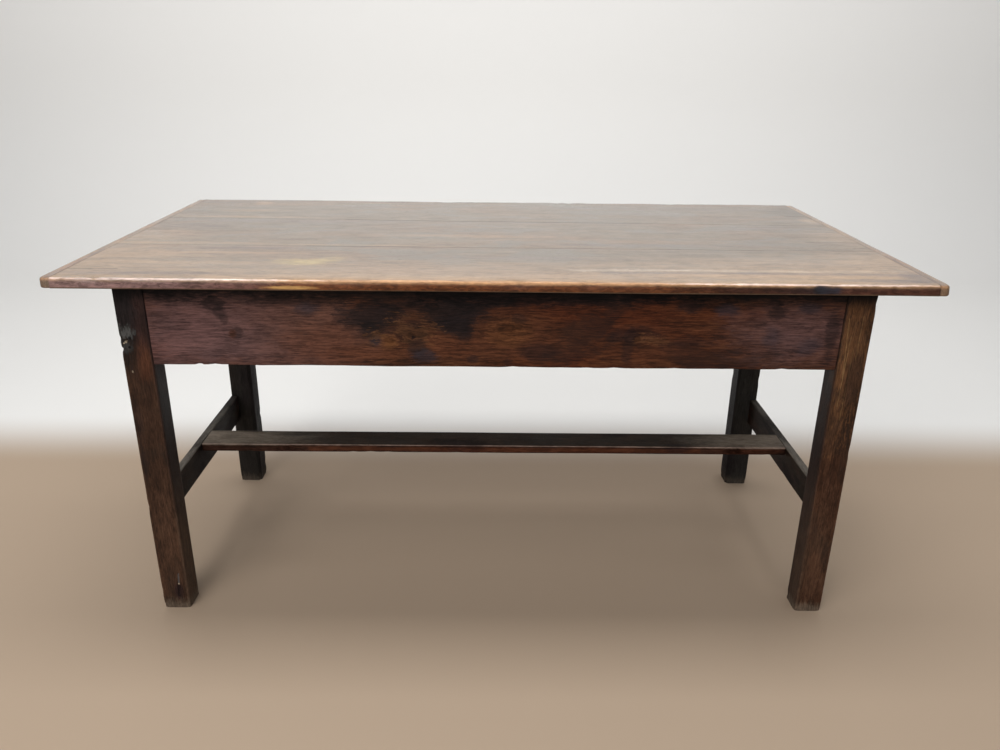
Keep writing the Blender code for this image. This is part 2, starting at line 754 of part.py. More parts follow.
def build_table():
    """The whole table, a sub-assembly at a time."""
    clear_scene()
    dark_oak = finish("dark_oak", (0.048, 0.021, 0.014), 0.42)
    apron_oak = finish("apron_oak", (0.085, 0.030, 0.021), 0.40)
    rail_oak = finish("rail_oak", (0.052, 0.022, 0.017), 0.38)
    top_oak = finish("top_oak", (0.190, 0.115, 0.078), 0.36)
    cleat_oak = finish("cleat_oak", (0.210, 0.112, 0.066), 0.40)
    bare_oak = finish("bare_oak", (0.130, 0.080, 0.048), 0.75)
    steel = finish("steel", (0.110, 0.100, 0.095), 0.50, 1)
    table = bpy.data.objects.new("table", None)
    bpy.context.collection.objects.link(table)
    for end_name in ENDS:
        for side_name in SIDES:
            build_leg(end_name, side_name, dark_oak, table)
        build_end_apron(end_name, apron_oak, table)
        build_end_stretcher(end_name, rail_oak, table)
        build_bearer(end_name, bare_oak, steel, table)
        build_cleat(end_name, cleat_oak, steel, table)
    for side_name in SIDES:
        build_long_apron(side_name, apron_oak, table)
    build_centre_stretcher(rail_oak, table)
    build_glue_blocks(bare_oak, table)
    for board in BOARD_FORMS:
        build_board(board, top_oak, table)


build_table()
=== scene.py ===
"""The looks of a country kitchen table in dark oak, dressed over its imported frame.

Metres, +Z up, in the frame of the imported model: the origin is on the floor under the middle of the top,
+X runs along the length to the right, and -Y is the front. Each board, leg and rail is shaped again here
with the wear of its age, and stands for the plain solid that it replaces.
"""

import logging
import math
import random
from collections.abc import Callable, Sequence
from dataclasses import dataclass, field, replace
from enum import Enum

import bmesh
import bpy
from mathutils import Matrix, Vector


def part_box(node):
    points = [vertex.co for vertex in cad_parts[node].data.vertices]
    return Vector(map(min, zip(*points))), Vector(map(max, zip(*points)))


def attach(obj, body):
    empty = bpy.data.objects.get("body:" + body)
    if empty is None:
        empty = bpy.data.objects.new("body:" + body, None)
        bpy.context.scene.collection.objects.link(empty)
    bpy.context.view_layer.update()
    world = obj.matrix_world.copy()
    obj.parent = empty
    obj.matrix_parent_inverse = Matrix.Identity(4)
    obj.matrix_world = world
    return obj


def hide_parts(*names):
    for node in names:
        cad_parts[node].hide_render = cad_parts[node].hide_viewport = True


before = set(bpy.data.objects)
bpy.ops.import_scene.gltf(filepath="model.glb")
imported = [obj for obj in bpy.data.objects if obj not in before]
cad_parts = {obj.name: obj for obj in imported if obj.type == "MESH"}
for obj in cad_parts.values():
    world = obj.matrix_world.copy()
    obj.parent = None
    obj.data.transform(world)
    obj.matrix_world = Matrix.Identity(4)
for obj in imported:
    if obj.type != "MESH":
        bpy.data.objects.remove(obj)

LOG = logging.getLogger("kitchen_table")
MILLIMETRE = 0.001
FIT = 0.3 * MILLIMETRE

Colour = tuple[float, float, float]
Place = tuple[float, float, float]
X_AXIS: Place = (1, 0, 0)
Y_AXIS: Place = (0, 1, 0)
Z_AXIS: Place = (0, 0, 1)
Rule =Callable[[Vector], float]
PointTest = Callable[[Vector], bool]
EdgeTest = Callable[[Vector, Vector], bool]


class Port:
    """A socket of a material's nodes, on which Python's operators add Math nodes."""

    def __init__(self, paint: "Paint", socket: bpy.types.NodeSocket) -> None:
        """Keeps the socket and the material that it belongs to."""
        self.paint = paint
        self.socket = socket

    def __add__(self, other: "Value") -> "Port":
        """Self + other."""
        return self.paint.math("ADD", self, other)

    def __radd__(self, other: "Value") -> "Port":
        """Other + self."""
        return self.paint.math("ADD", other, self)

    def __sub__(self, other: "Value") -> "Port":
        """Self - other."""
        return self.paint.math("SUBTRACT", self, other)

    def __rsub__(self, other: "Value") -> "Port":
        """Other - self."""
        return self.paint.math("SUBTRACT", other, self)

    def __mul__(self, other: "Value") -> "Port":
        """Self * other."""
        return self.paint.math("MULTIPLY", self, other)

    def __rmul__(self, other: "Value") -> "Port":
        """Other * self."""
        return self.paint.math("MULTIPLY", other, self)

    def __truediv__(self, other: "Value") -> "Port":
        """Self / other."""
        return self.paint.math("DIVIDE", self, other)

    def __abs__(self) -> "Port":
        """The size of self without its sign."""
        return self.paint.math("ABSOLUTE", self)


Value = float | Port


class Paint:
    """A material under construction: a Principled shader and the nodes that feed it."""

    def __init__(self, name: str) -> None:
        """Starts a material.

        Args:
            name: The material's name.
        """
        self.material = bpy.data.materials.new(name)
        self.material.use_nodes = True
        self.tree = self.material.node_tree
        self.shader = self.tree.nodes["Principled BSDF"]

    def set(self, socket: bpy.types.NodeSocket, value: object) -> None:
        """Gives a socket its link or its value.

        Args:
            socket: The input.
            value: A Port to link, or a plain number, colour or vector.
        """
        if isinstance(value, Port):
            self.tree.links.new(value.socket, socket)
        elif socket.type == "RGBA":
            socket.default_value = (*value, 1)
        else:
            socket.default_value = value

    def node(self, kind: str, settings: dict | None = None, inputs: dict | None = None,
             output: int | str = 0) -> Port:
        """Adds one node.

        Args:
            kind: The node's type, without its ShaderNode prefix.
            settings: What is set on the node itself, before its sockets; stops fill its ramp.
            inputs: The values or Ports of its sockets, by name or index.
            output: Which of its outputs is wanted.

        Returns:
            That output.
        """
        made = self.tree.nodes.new("ShaderNode" + kind)
        for name, value in (settings or {}).items():
            if name == "stops":
                self.grade(made.color_ramp, value)
            else:
                setattr(made, name, value)
        for name, value in (inputs or {}).items():
            self.set(made.inputs[name], value)
        return Port(self, made.outputs[output])

    def feed(self, inputs: dict) -> bpy.types.Material:
        """Feeds the shader.

        Args:
            inputs: The values or Ports of its sockets, by name.

        Returns:
            The finished material.
        """
        for name, value in inputs.items():
            self.set(self.shader.inputs[name], value)
        return self.material

    @staticmethod
    def grade(ramp: bpy.types.ColorRamp, stops: Sequence[tuple[float, Colour]]) -> None:
        """Fills a colour ramp.

        Args:
            ramp: The ramp.
            stops: Each a place from 0 to 1 and a colour.
        """
        while len(ramp.elements) < len(stops):
            ramp.elements.new(0.5)
        for element, (place, colour) in zip(ramp.elements, stops):
            element.position = place
            element.color = (*colour, 1)

    def math(self, operation: str, *terms: Value) -> Port:
        """A Math node on numbers."""
        return self.node("Math", {"operation": operation}, dict(enumerate(terms)))

    def vector(self, operation: str, *terms: object) -> Port:
        """A Vector Math node, with a vector as its result."""
        return self.node("VectorMath", {"operation": operation}, dict(enumerate(terms)))

    def length(self, vector: Port) -> Port:
        """How long a vector is."""
        return self.node("VectorMath", {"operation": "LENGTH"}, {0: vector}, "Value")

    def dot(self, first: object, second: object) -> Port:
        """How far one vector reaches along another."""
        return self.node("VectorMath", {"operation": "DOT_PRODUCT"}, {0: first, 1: second}, "Value")

    def smooth(self, value: Value, low: float, high: float) -> Port:
        """A smooth step, which falls where low is the larger.

        Args:
            value: What is measured.
            low: Where the step is 0.
            high: Where it is 1.

        Returns:
            The step, from 0 to 1.
        """
        start, end, first, last = (low, high, 0, 1) if low < high else (high, low, 1, 0)
        ends = {"Value": value, "From Min": start, "From Max": end, "To Min": first, "To Max": last}
        return self.node("MapRange", {"interpolation_type": "SMOOTHSTEP"}, ends)

    def mix(self, share: Value, under: object, over: object, blend: str = "MIX") -> Port:
        """A Mix node on colours, from under at a share of 0 to over at 1."""
        return self.node("Mix", {"data_type": "RGBA", "blend_type": blend, "clamp_factor": True},
                         {0: share, 6: under, 7: over}, 2)

    def noise(self, place: Port, scale: float, detail: float = 3, roughness: float = 0.55,
              distortion: float = 0) -> Port:
        """Noise from 0 to 1 round a half.

        Args:
            place: Where it is read.
            scale: Its features to the metre.
            detail: How many finer layers it has.
            roughness: How strong those are.
            distortion: How far they are pulled about.

        Returns:
            Its value.
        """
        return self.node("TexNoise", {"noise_dimensions": "3D"},
                         {"Vector": place, "Scale": scale, "Detail": detail, "Roughness": roughness,
                          "Distortion": distortion}, "Fac")


def shaded(colour: Colour, share: float) -> Colour:
    """A colour made darker or lighter."""
    return tuple(part * share for part in colour)


@dataclass(frozen=True)
class Stain:
    """What lies on the wood, or what shows where its polish has gone, or painted light and shade on it.

    Attributes:
        tint: Its colour.
        strength: How much of the wood it hides, from 0 to 1.
        ragged: How uneven its outline is, as a share of its reach.
        soft: How gently it fades out, as a share of its reach.
        dull: How much rougher than the polish it is.
        polish: How much clear polish it adds.
    """

    tint: Colour
    strength: float = 0.8
    ragged: float = 0.9
    soft: float = 0.25
    dull: float = 0.0
    polish: float = 0.0

    def faint(self, share: float) -> "Stain":
        """The same stain, thinner, or thicker where the share is above 1."""
        return replace(self, strength=self.strength * share)


@dataclass(frozen=True)
class Blot:
    """A stain round one place.

    Attributes:
        stain: What it is.
        centre: Its middle.
        radii: How far it reaches along X, Y and Z.
    """

    stain: Stain
    centre: Place
    radii: Place

    def reach(self, paint: Paint, place: Port) -> Port:
        """How far off a place is, with the outline at 1."""
        offset = paint.vector("SUBTRACT", place, self.centre)
        return paint.length(paint.vector("DIVIDE", offset, self.radii))


@dataclass(frozen=True)
class Stroke:
    """A stain along a line.

    Attributes:
        stain: What it is.
        start: One end of the line.
        stop: The other end.
        width: How far it reaches from the line.
    """

    stain: Stain
    start: Place
    stop: Place
    width: float

    def reach(self, paint: Paint, place: Port) -> Port:
        """How far off a place is, with the outline at 1.

        Args:
            paint: The material under construction.
            place: The place that is shaded.

        Returns:
            The distance as a share of the width.
        """
        way = Vector(self.stop) - Vector(self.start)
        offset = paint.vector("SUBTRACT", place, self.start)
        along = paint.dot(offset, way / way.length_squared)
        share = paint.math("MINIMUM", paint.math("MAXIMUM", along, 0), 1)
        nearest = paint.node("VectorMath", {"operation": "SCALE"}, {0: way, "Scale": share})
        return paint.length(paint.vector("SUBTRACT", offset, nearest)) / self.width


@dataclass(frozen=True)
class Band:
    """A stain along a plane.

    Attributes:
        stain: What it is.
        normal: The plane's normal.
        offset: How far along the normal the plane lies.
        width: How far the stain reaches on both sides of it.
    """

    stain: Stain
    normal: Place
    offset: float
    width: float

    def reach(self, paint: Paint, place: Port) -> Port:
        """How far off a place is, with the outline at 1."""
        return abs(paint.dot(place, self.normal) - self.offset) / self.width


Trace = Blot | Stroke | Band


def scatter(stain: Stain, low: Vector, high: Vector, count: int, sizes: tuple[Place, Place],
            seed: float) -> list[Trace]:
    """Blots at random places between two corners.

    Args:
        stain: What they are.
        low: The low corner.
        high: The high corner.
        count: How many there are.
        sizes: The least and the greatest radii.
        seed: What the places are drawn from.

    Returns:
        The blots.
    """
    chance = random.Random(seed)
    blots: list[Trace] = []
    for _ in range(count):
        centre = tuple(chance.uniform(low[axis], high[axis]) for axis in range(3))
        share = chance.random()
        radii = tuple(sizes[0][axis] + (sizes[1][axis] - sizes[0][axis]) * share for axis in range(3))
        blots.append(Blot(stain.faint(chance.uniform(0.5, 1)), centre, radii))
    return blots


def on_face(rows: Sequence[tuple], axis: int, level: float, reach: float) -> list[Trace]:
    """Lays blots and strokes on a flat face that looks along Y or Z.

    Args:
        rows: Each a stain, its share of strength, and in millimetres a blot's middle and its two radii,
            or a stroke's two ends and its width.
        axis: The face's axis, 1 or 2.
        level: Where the face lies on that axis.
        reach: How far a blot reaches into the wood.

    Returns:
        The marks, in the order of the rows.
    """
    def in_space(x: float, other: float, along_axis: float) -> Place:
        """A place or a set of radii, with its number along the face's axis put in."""
        spot = [x * MILLIMETRE, other * MILLIMETRE]
        spot.insert(axis, along_axis)
        return tuple(spot)

    found: list[Trace] = []
    for stain, share, x, other, *rest in rows:
        start = in_space(x, other, level)
        if len(rest) == 2:
            found.append(Blot(stain.faint(share), start, in_space(*rest, reach)))
        else:
            stop = in_space(rest[0], rest[1], level)
            found.append(Stroke(stain.faint(share), start, stop, rest[2] * MILLIMETRE))
    return found


class Grain(Enum):
    """Which way a piece's grain runs, as the turn that brings it onto X."""

    LENGTHWISE = (0, 0, 0)
    FRONT_TO_BACK = (0, 0, -math.pi / 2)
    UPRIGHT = (0, math.pi / 2, 0)


@dataclass(frozen=True)
class Knot:
    """A knot that the grain flows round.

    Attributes:
        centre: Its middle.
        radius: How far its swirl reaches across the grain.
        along: How many times longer it is along the grain.
    """

    centre: Place
    radius: float
    along: float = 1.8


@dataclass(frozen=True)
class Oak:
    """A finish of old oak, stained and polished.

    Attributes:
        deep: The dark lines.
        middle: The open wood.
        bright: The palest flecks.
        murk: The old polish that lies in clouds on it.
        flush: What its redder parts are multiplied by.
        figure: The shares of the rings, the broad bands, the mottling, the streaks and the fibres.
        rough: How rough the polish is, from 0 to 1.
        gleam: The shader's specular level.
        cloud: How much murk there is, from 0 to 1.
        flecks: How dark its small marks are, from 0 to 1.
        specks: How pale its smallest chips are, from 0 to 1.
        relief: How deep the grain is felt.
    """

    deep: Colour
    middle: Colour
    bright: Colour
    murk: Colour
    flush: Colour = (1.25, 0.88, 0.70)
    figure: tuple[float, float, float, float, float] = (0.06, 0.10, 0.24, 0.26, 0.34)
    rough: float = 0.42
    gleam: float = 0.12
    cloud: float = 0.6
    flecks: float = 0.5
    specks: float = 0.15
    relief: float = 0.3 * MILLIMETRE


class Timber:
    """The nodes of one oak piece, cut from its own place in the tree.

    Attributes:
        RING: How far apart the year rings lie.
        HEART: Where the heart of the tree lies, across and through the grain.
        COAT_ROUGH: How rough the clear polish is.
    """

    RING = 6 * MILLIMETRE
    HEART = (0.05, -0.08)
    COAT_ROUGH = 0.18

    def __init__(self, name: str, oak: Oak, grain: Grain, low: Vector, high: Vector, seed: float,
                 knots: Sequence[Knot] = ()) -> None:
        """Sets up the coordinates along, across and through the grain.

        Args:
            name: The material's name.
            oak: The finish.
            grain: Which way the grain runs.
            low: The piece's low corner.
            high: The piece's high corner.
            seed: Where in the tree it was cut.
            knots: The knots on it.
        """
        self.paint = paint = Paint(name)
        self.oak = oak
        self.grain = grain
        self.place = paint.node("TexCoord", output="Object")
        along, across, through = self.turned((low + high) / 2)
        bent, self.eyes = self.flow(knots)
        through = through + bent
        self.side, self.depth = across - self.HEART[0] + along * 0.012, through - self.HEART[1]
        places = {0: along + seed * 1.7, 1: across + seed * 0.9, 2: through + seed * 2.3}
        self.tree = paint.node("CombineXYZ", None, places)

    def turned(self, centre: Place | Vector) -> list[Port]:
        """Measures the place that is shaded in the directions of the grain.

        Args:
            centre: Where it is measured from.

        Returns:
            How far it lies along, across and through the grain.
        """
        offset = self.paint.vector("SUBTRACT", self.place, centre)
        lined_up = self.paint.node("Mapping", {"vector_type": "POINT"},
                                   {"Vector": offset, "Rotation": self.grain.value})
        return [self.paint.node("SeparateXYZ", None, {0: lined_up}, axis) for axis in "XYZ"]

    def flow(self, knots: Sequence[Knot]) -> tuple[Value, Value]:
        """Bends the grain round the knots, whose limbs run through an upright board.

        Args:
            knots: The knots.

        Returns:
            How far the grain is moved up or down, and how dark the knots are.
        """
        paint = self.paint
        bent: Value = 0
        eyes: Value = 0
        for knot in knots:
            along, limb, height = self.turned(knot.centre)
            long_share = along / (knot.radius * knot.along)
            high_share = height / knot.radius
            ripple = paint.noise(self.place, 90, 2, 0.5) * 0.5
            far = paint.math("SQRT", long_share * long_share + high_share * high_share) + ripple
            hump = paint.math("EXPONENT", far * far * -1.0) * paint.smooth(abs(limb), 0.02, 0.005)
            bent = hump * height * -0.8 + bent
            swirl = paint.math("SINE", far * 16.0) * 0.35 + 0.35
            eyes = hump * (paint.smooth(far, 0.62, 0.35) + swirl) * 0.8 + eyes
        return bent, eyes

    def drawn_out(self, share: float) -> Port:
        """The place in the tree, drawn out along the grain."""
        return self.paint.vector("MULTIPLY", self.tree, (share, 1, 1))

    def rings(self) -> Port:
        """Cuts the year rings with the faces of the piece.

        Returns:
            The rings, from 0 to 1.
        """
        paint = self.paint
        wander = paint.noise(self.drawn_out(0.25), 6, 2, 0.5) * 0.030
        ripple = paint.noise(self.drawn_out(0.15), 60, 3, 0.6) * 0.005
        radius = paint.math("SQRT", self.side * self.side + self.depth * self.depth)
        turns = (radius + wander + ripple) / self.RING
        return paint.math("SINE", turns * (2 * math.pi)) * 0.5 + 0.5

    def stained(self, colour: Port, tone: Port, traces: Sequence[Trace]) -> tuple[Port, Value, Value]:
        """Lays stains over the wood, with the grain showing through them.

        Args:
            colour: The wood's colour.
            tone: The grain, from 0 to 1.
            traces: The stains, the lowest first.

        Returns:
            The colour with them, how much rougher they make the surface, and the polish they add.
        """
        paint = self.paint
        fine = paint.noise(self.drawn_out(0.3), 200, 5, 0.7, 0.5)
        broad = paint.noise(self.drawn_out(0.7), 26, 3, 0.6)
        hairs = paint.noise(self.drawn_out(0.12), 380, 3, 0.65)
        wobble = fine * 1.7 + broad * 1.5 + hairs * 1.1 - 2.15
        dull: Value = 0
        polish: Value = 0
        for trace in traces:
            stain = trace.stain
            edge = trace.reach(paint, self.place) + wobble * stain.ragged
            cover = paint.smooth(edge, 1 + stain.soft, 1 - stain.soft)
            if stain.strength:
                grained = paint.mix(tone, shaded(stain.tint, 0.35), shaded(stain.tint, 1.7))
                colour = paint.mix(cover * stain.strength, colour, grained)
            if stain.dull:
                dull = cover * stain.dull + dull
            if stain.polish:
                polish = cover * stain.polish + polish
        return colour, dull, polish

    def finish(self, traces: Sequence[Trace] = (),
               tint: Callable[["Timber", Port, Port], Port] | None = None) -> bpy.types.Material:
        """Feeds the shader.

        Args:
            traces: The stains on this piece, the lowest first.
            tint: What else colours this piece, from its colour and its tone.

        Returns:
            The material.
        """
        paint, oak = self.paint, self.oak
        ring = self.rings()
        broad = paint.noise(self.drawn_out(0.06), 38, 3, 0.55)
        mottle = paint.noise(self.drawn_out(0.40), 46, 5, 0.65, 0.5)
        streak = paint.noise(self.drawn_out(0.07), 370, 4, 0.7, 0.6)
        fibre = paint.noise(self.drawn_out(0.09), 750, 3, 0.7)
        pores = paint.smooth(paint.noise(self.drawn_out(0.06), 1300, 2, 0.6), 0.56, 0.66)
        clouds = paint.noise(self.drawn_out(0.45), 11, 5, 0.62, 0.6)
        hues = paint.noise(self.drawn_out(0.3), 6, 3, 0.6)
        ring_share, broad_share, mottle_share, streak_share, fibre_share = oak.figure
        tone = (ring * ring_share + paint.smooth(broad, 0.34, 0.66) * broad_share
                + paint.smooth(mottle, 0.36, 0.64) * mottle_share
                + paint.smooth(streak, 0.39, 0.61) * streak_share
                + paint.smooth(fibre, 0.32, 0.68) * fibre_share - pores * 0.15)
        grades = [(0.12, oak.deep), (0.48, oak.middle), (0.88, oak.bright)]
        colour = paint.node("ValToRGB", {"stops": grades}, {"Fac": tone}, "Color")
        colour = paint.mix(paint.smooth(hues, 0.44, 0.62) * 0.8, colour, oak.flush, "MULTIPLY")
        colour = paint.mix(paint.smooth(clouds, 0.50, 0.61) * oak.cloud, colour, oak.murk)
        flecks = paint.smooth(paint.noise(self.drawn_out(0.6), 190, 2, 0.5), 0.68, 0.76)
        colour = paint.mix(flecks * oak.flecks, colour, shaded(oak.deep, 0.6))
        specks = paint.smooth(paint.noise(self.drawn_out(0.5), 330, 3, 0.6), 0.69, 0.77)
        colour = paint.mix(specks * oak.specks, colour, shaded(oak.bright, 2.4))
        if tint:
            colour = tint(self, colour, tone)
        colour, dull, polish = self.stained(colour, tone, traces)
        if isinstance(self.eyes, Port):
            colour = paint.mix(self.eyes * 0.75, colour, (0.30, 0.26, 0.24), "MULTIPLY")
        gloss = (fibre - 0.5) * 0.3 + (clouds - 0.5) * -0.3 + pores * 0.1 + dull + oak.rough
        gloss = paint.math("MINIMUM", paint.math("MAXIMUM", gloss, 0.18), 0.9)
        height = fibre * 0.5 + streak * 0.8 - pores * 0.6 + ring * 0.15
        bump = paint.node("Bump", None, {"Strength": 0.7, "Distance": oak.relief, "Height": height})
        return paint.feed({"Base Color": colour, "Roughness": gloss, "Coat Weight": polish, "Normal": bump,
                           "Coat Roughness": self.COAT_ROUGH, "Specular IOR Level": oak.gleam})


def near(value: float, target: float, reach: float = 0.2 * MILLIMETRE) -> bool:
    """Whether two lengths are the same but for a little."""
    return abs(value - target) < reach


def fade(distance: float, reach: float) -> float:
    """A weight that falls smoothly from 1 at no distance to 0 at a reach."""
    share = min(1.0, max(0.0, 1 - distance / reach))
    return share * share * (3 - 2 * share)


@dataclass(frozen=True)
class Crack:
    """A split in a surface, that wavers and closes at its end.

    Attributes:
        start: Where it starts.
        stop: Where it ends.
        into: The way into the wood.
        width: How wide it is.
        depth: How deep it is.
        open_end: Whether it starts at the end of the piece, where it is widest.
    """

    start: Place
    stop: Place
    into: Place = (0, 0, -1)
    width: float = 1.4 * MILLIMETRE
    depth: float = 5 * MILLIMETRE
    open_end: bool = True


class Bench:
    """A piece being shaped: one mesh, and the operators that are used on it."""

    def __init__(self, thing: bpy.types.Object) -> None:
        """Takes up an object."""
        self.thing = thing

    def take(self) -> None:
        """Selects the piece alone."""
        bpy.ops.object.select_all(action="DESELECT")
        self.thing.select_set(True)
        bpy.context.view_layer.objects.active = self.thing

    def pick(self, kind: str, test: Callable[..., bool]) -> int:
        """Selects, in edit mode, the parts of one kind that pass a test.

        Args:
            kind: VERT, EDGE or FACE.
            test: Gets a vertex's place, an edge's two ends, or a face's middle and normal.

        Returns:
            How many were selected.
        """
        self.take()
        bpy.ops.object.mode_set(mode="EDIT")
        bpy.ops.mesh.select_mode(type=kind)
        bpy.ops.mesh.select_all(action="DESELECT")
        shape = bmesh.from_edit_mesh(self.thing.data)
        if kind == "VERT":
            chosen = [vert for vert in shape.verts if test(vert.co)]
        elif kind == "EDGE":
            chosen = [edge for edge in shape.edges if test(edge.verts[0].co, edge.verts[1].co)]
        else:
            chosen = [face for face in shape.faces if test(face.calc_center_median(), face.normal)]
        for part in chosen:
            part.select_set(True)
        shape.select_flush_mode()
        bmesh.update_edit_mesh(self.thing.data)
        return len(chosen)

    def shift(self, test: PointTest, offset: Vector) -> None:
        """Moves vertices.

        Args:
            test: Whether a vertex at this place is moved.
            offset: How far.
        """
        self.pick("VERT", test)
        bpy.ops.transform.translate(value=offset)
        bpy.ops.object.mode_set(mode="OBJECT")

    def squeeze(self, test: PointTest, scale: Place) -> None:
        """Scales vertices about the origin.

        Args:
            test: Whether a vertex at this place is moved.
            scale: By how much along each axis.
        """
        self.pick("VERT", test)
        bpy.ops.transform.resize(value=scale, center_override=(0, 0, 0))
        bpy.ops.object.mode_set(mode="OBJECT")

    def slice(self, axis: int, places: Sequence[float]) -> None:
        """Cuts loops of edges right round the piece.

        Args:
            axis: The axis that they lie across.
            places: Where on it they lie.
        """
        normal = Vector((0, 0, 0))
        normal[axis] = 1
        self.take()
        bpy.ops.object.mode_set(mode="EDIT")
        for place in places:
            bpy.ops.mesh.select_all(action="SELECT")
            bpy.ops.mesh.bisect(plane_co=normal * place, plane_no=normal)
        bpy.ops.object.mode_set(mode="OBJECT")

    def divide(self, axis: int, cell: float) -> None:
        """Divides every long edge that runs along an axis.

        Args:
            axis: The axis.
            cell: About how long each part becomes.
        """
        low, high = self.corners()

        def runs_along(first: Vector, second: Vector) -> bool:
            """Whether an edge lies along the axis and is longer than a cell."""
            way = second - first
            return abs(way[axis]) > 0.9 * way.length and way.length > cell * 1.5

        self.pick("EDGE", runs_along)
        bpy.ops.mesh.subdivide(number_cuts=max(1, round((high[axis] - low[axis]) / cell) - 1))
        bpy.ops.object.mode_set(mode="OBJECT")

    def refine(self, place: Vector, reach: float, cuts: int) -> None:
        """Divides the faces round a place.

        Args:
            place: The place.
            reach: How far off a face's middle may lie.
            cuts: Into how many strips less one each is divided.
        """
        self.pick("FACE", lambda middle, normal: (middle - place).length < reach)
        bpy.ops.mesh.subdivide(number_cuts=cuts)
        bpy.ops.object.mode_set(mode="OBJECT")

    def bevel(self, test: EdgeTest, width: float, steps: int) -> None:
        """Rounds edges.

        Args:
            test: Whether an edge between these two places is rounded.
            width: How wide the round is.
            steps: How many facets it has.
        """
        self.pick("EDGE", test)
        bpy.ops.mesh.bevel(offset=width, segments=steps, profile=0.5, affect="EDGES")
        bpy.ops.object.mode_set(mode="OBJECT")

    def corners(self) -> tuple[Vector, Vector]:
        """Measures the mesh as it is now.

        Returns:
            Its low and high corners.
        """
        places = [vert.co for vert in self.thing.data.vertices]
        low = Vector(min(place[axis] for place in places) for axis in range(3))
        high = Vector(max(place[axis] for place in places) for axis in range(3))
        return low, high

    def dent(self, place: Vector, push: Vector, reach: float) -> None:
        """Pushes in the vertex nearest to a place, and what lies round it with it.

        Args:
            place: The place.
            push: How far the vertex goes.
            reach: How far off the surface still gives way.
        """
        spots = (vert.co for vert in self.thing.data.vertices)
        nearest = min(spots, key=lambda spot: (spot - place).length).copy()
        self.pick("VERT", lambda spot: (spot - nearest).length < 0.01 * MILLIMETRE)
        bpy.ops.transform.translate(value=push, use_proportional_edit=True,
                                    proportional_edit_falloff="SMOOTH", proportional_size=reach)
        bpy.ops.object.mode_set(mode="OBJECT")

    def batter(self, start: Vector, stop: Vector, inward: Vector, count: int, seed: float) -> None:
        """Knocks dents into an arris.

        Args:
            start: One end of the arris.
            stop: The other end.
            inward: How far the deepest dent goes in.
            count: How many there are.
            seed: What their places are drawn from.
        """
        chance = random.Random(seed)
        for _ in range(count):
            place = start.lerp(stop, chance.random())
            self.dent(place, inward * chance.uniform(0.3, 1), chance.uniform(8, 22) * MILLIMETRE)

    def split(self, crack: Crack, seed: float) -> None:
        """Opens a crack, by taking out a thin wedge that wavers.

        Args:
            crack: The crack.
            seed: What its wavering is drawn from.
        """
        chance = random.Random(seed)
        wedge = block("wedge", Vector((0, -0.5, -1)), Vector((1, 0.5, 0.6)))
        stations = [number / 8 for number in range(9)]
        wedge.slice(0, stations[1:-1])
        for station in stations:
            opening = 1 - station if crack.open_end else math.sin(math.pi * station)

            def at_station(spot: Vector) -> bool:
                """Whether a vertex of the wedge is in this loop of it."""
                return near(spot.x, station, 0.01)

            wedge.squeeze(at_station, (1, max(0.1, opening), 1))
            wedge.shift(at_station, Vector((0, chance.uniform(-0.7, 0.7), 0)))
        wedge.squeeze(lambda spot: spot.z < -0.9, (1, 0.15, 1))
        start, way, into = Vector(crack.start), Vector(crack.stop) - Vector(crack.start), Vector(crack.into)
        side = way.cross(into).normalized()
        axes = Matrix((way, side * crack.width, into * -crack.depth)).transposed().to_4x4()
        wedge.thing.matrix_world = Matrix.Translation(start) @ axes
        wedge.take()
        bpy.ops.object.transform_apply(location=True, rotation=True, scale=True)
        step = self.thing.modifiers.new("split", "BOOLEAN")
        step.operation = "DIFFERENCE"
        step.solver = "FAST"
        step.object = wedge.thing
        self.take()
        bpy.ops.object.modifier_apply(modifier=step.name)
        bpy.data.objects.remove(wedge.thing)

    def weather(self, name: str, size: float, depth: float, seed: float, rule: Rule | None = None,
                stretch: Place = (1, 1, 1), level: float = 0.5, way: str = "NORMAL") -> None:
        """Moves the surface by a cloud pattern, as years of use do.

        Args:
            name: What this wear is called.
            size: The size of the clouds.
            depth: How far the surface moves from the darkest to the brightest cloud.
            seed: Which part of the pattern is used.
            rule: How strong it is at each place, from 0 to 1, or everywhere alike.
            stretch: How many times longer the clouds are along X, Y and Z.
            level: The brightness that leaves the surface where it was.
            way: The way it moves: NORMAL, X, Y or Z.
        """
        clouds = bpy.data.textures.new(name, "CLOUDS")
        clouds.noise_scale = size
        clouds.noise_depth = 2
        guide = bpy.data.objects.new(name, None)
        bpy.context.scene.collection.objects.link(guide)
        shift = Matrix.Translation((seed, seed * 0.7, seed * 1.3))
        guide.matrix_world = shift @ Matrix.Diagonal((*stretch, 1))
        step = self.thing.modifiers.new(name, "DISPLACE")
        step.texture = clouds
        step.texture_coords = "OBJECT"
        step.texture_coords_object = guide
        step.direction = way
        step.strength = depth
        step.mid_level = level
        if rule:
            group = self.thing.vertex_groups.new(name=name)
            for vert in self.thing.data.vertices:
                weight = rule(vert.co)
                if weight > 0:
                    group.add([vert.index], weight, "REPLACE")
            step.vertex_group = group.name
        bpy.context.view_layer.update()
        self.take()
        bpy.ops.object.modifier_apply(modifier=step.name)
        bpy.data.objects.remove(guide)
        bpy.data.textures.remove(clouds)

    def done(self, material: bpy.types.Material, slot: str, *nodes: str) -> bpy.types.Object:
        """Shades the piece, gives it its material and lets it stand for its solids.

        Args:
            material: Its finish.
            slot: Not used.
            nodes: The solids that it replaces.

        Returns:
            The finished object.
        """
        self.take()
        bpy.ops.object.shade_smooth_by_angle(angle=math.radians(50))
        self.thing.data.materials.clear()
        self.thing.data.materials.append(material)
        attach(self.thing, "root")
        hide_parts(*nodes)
        return self.thing


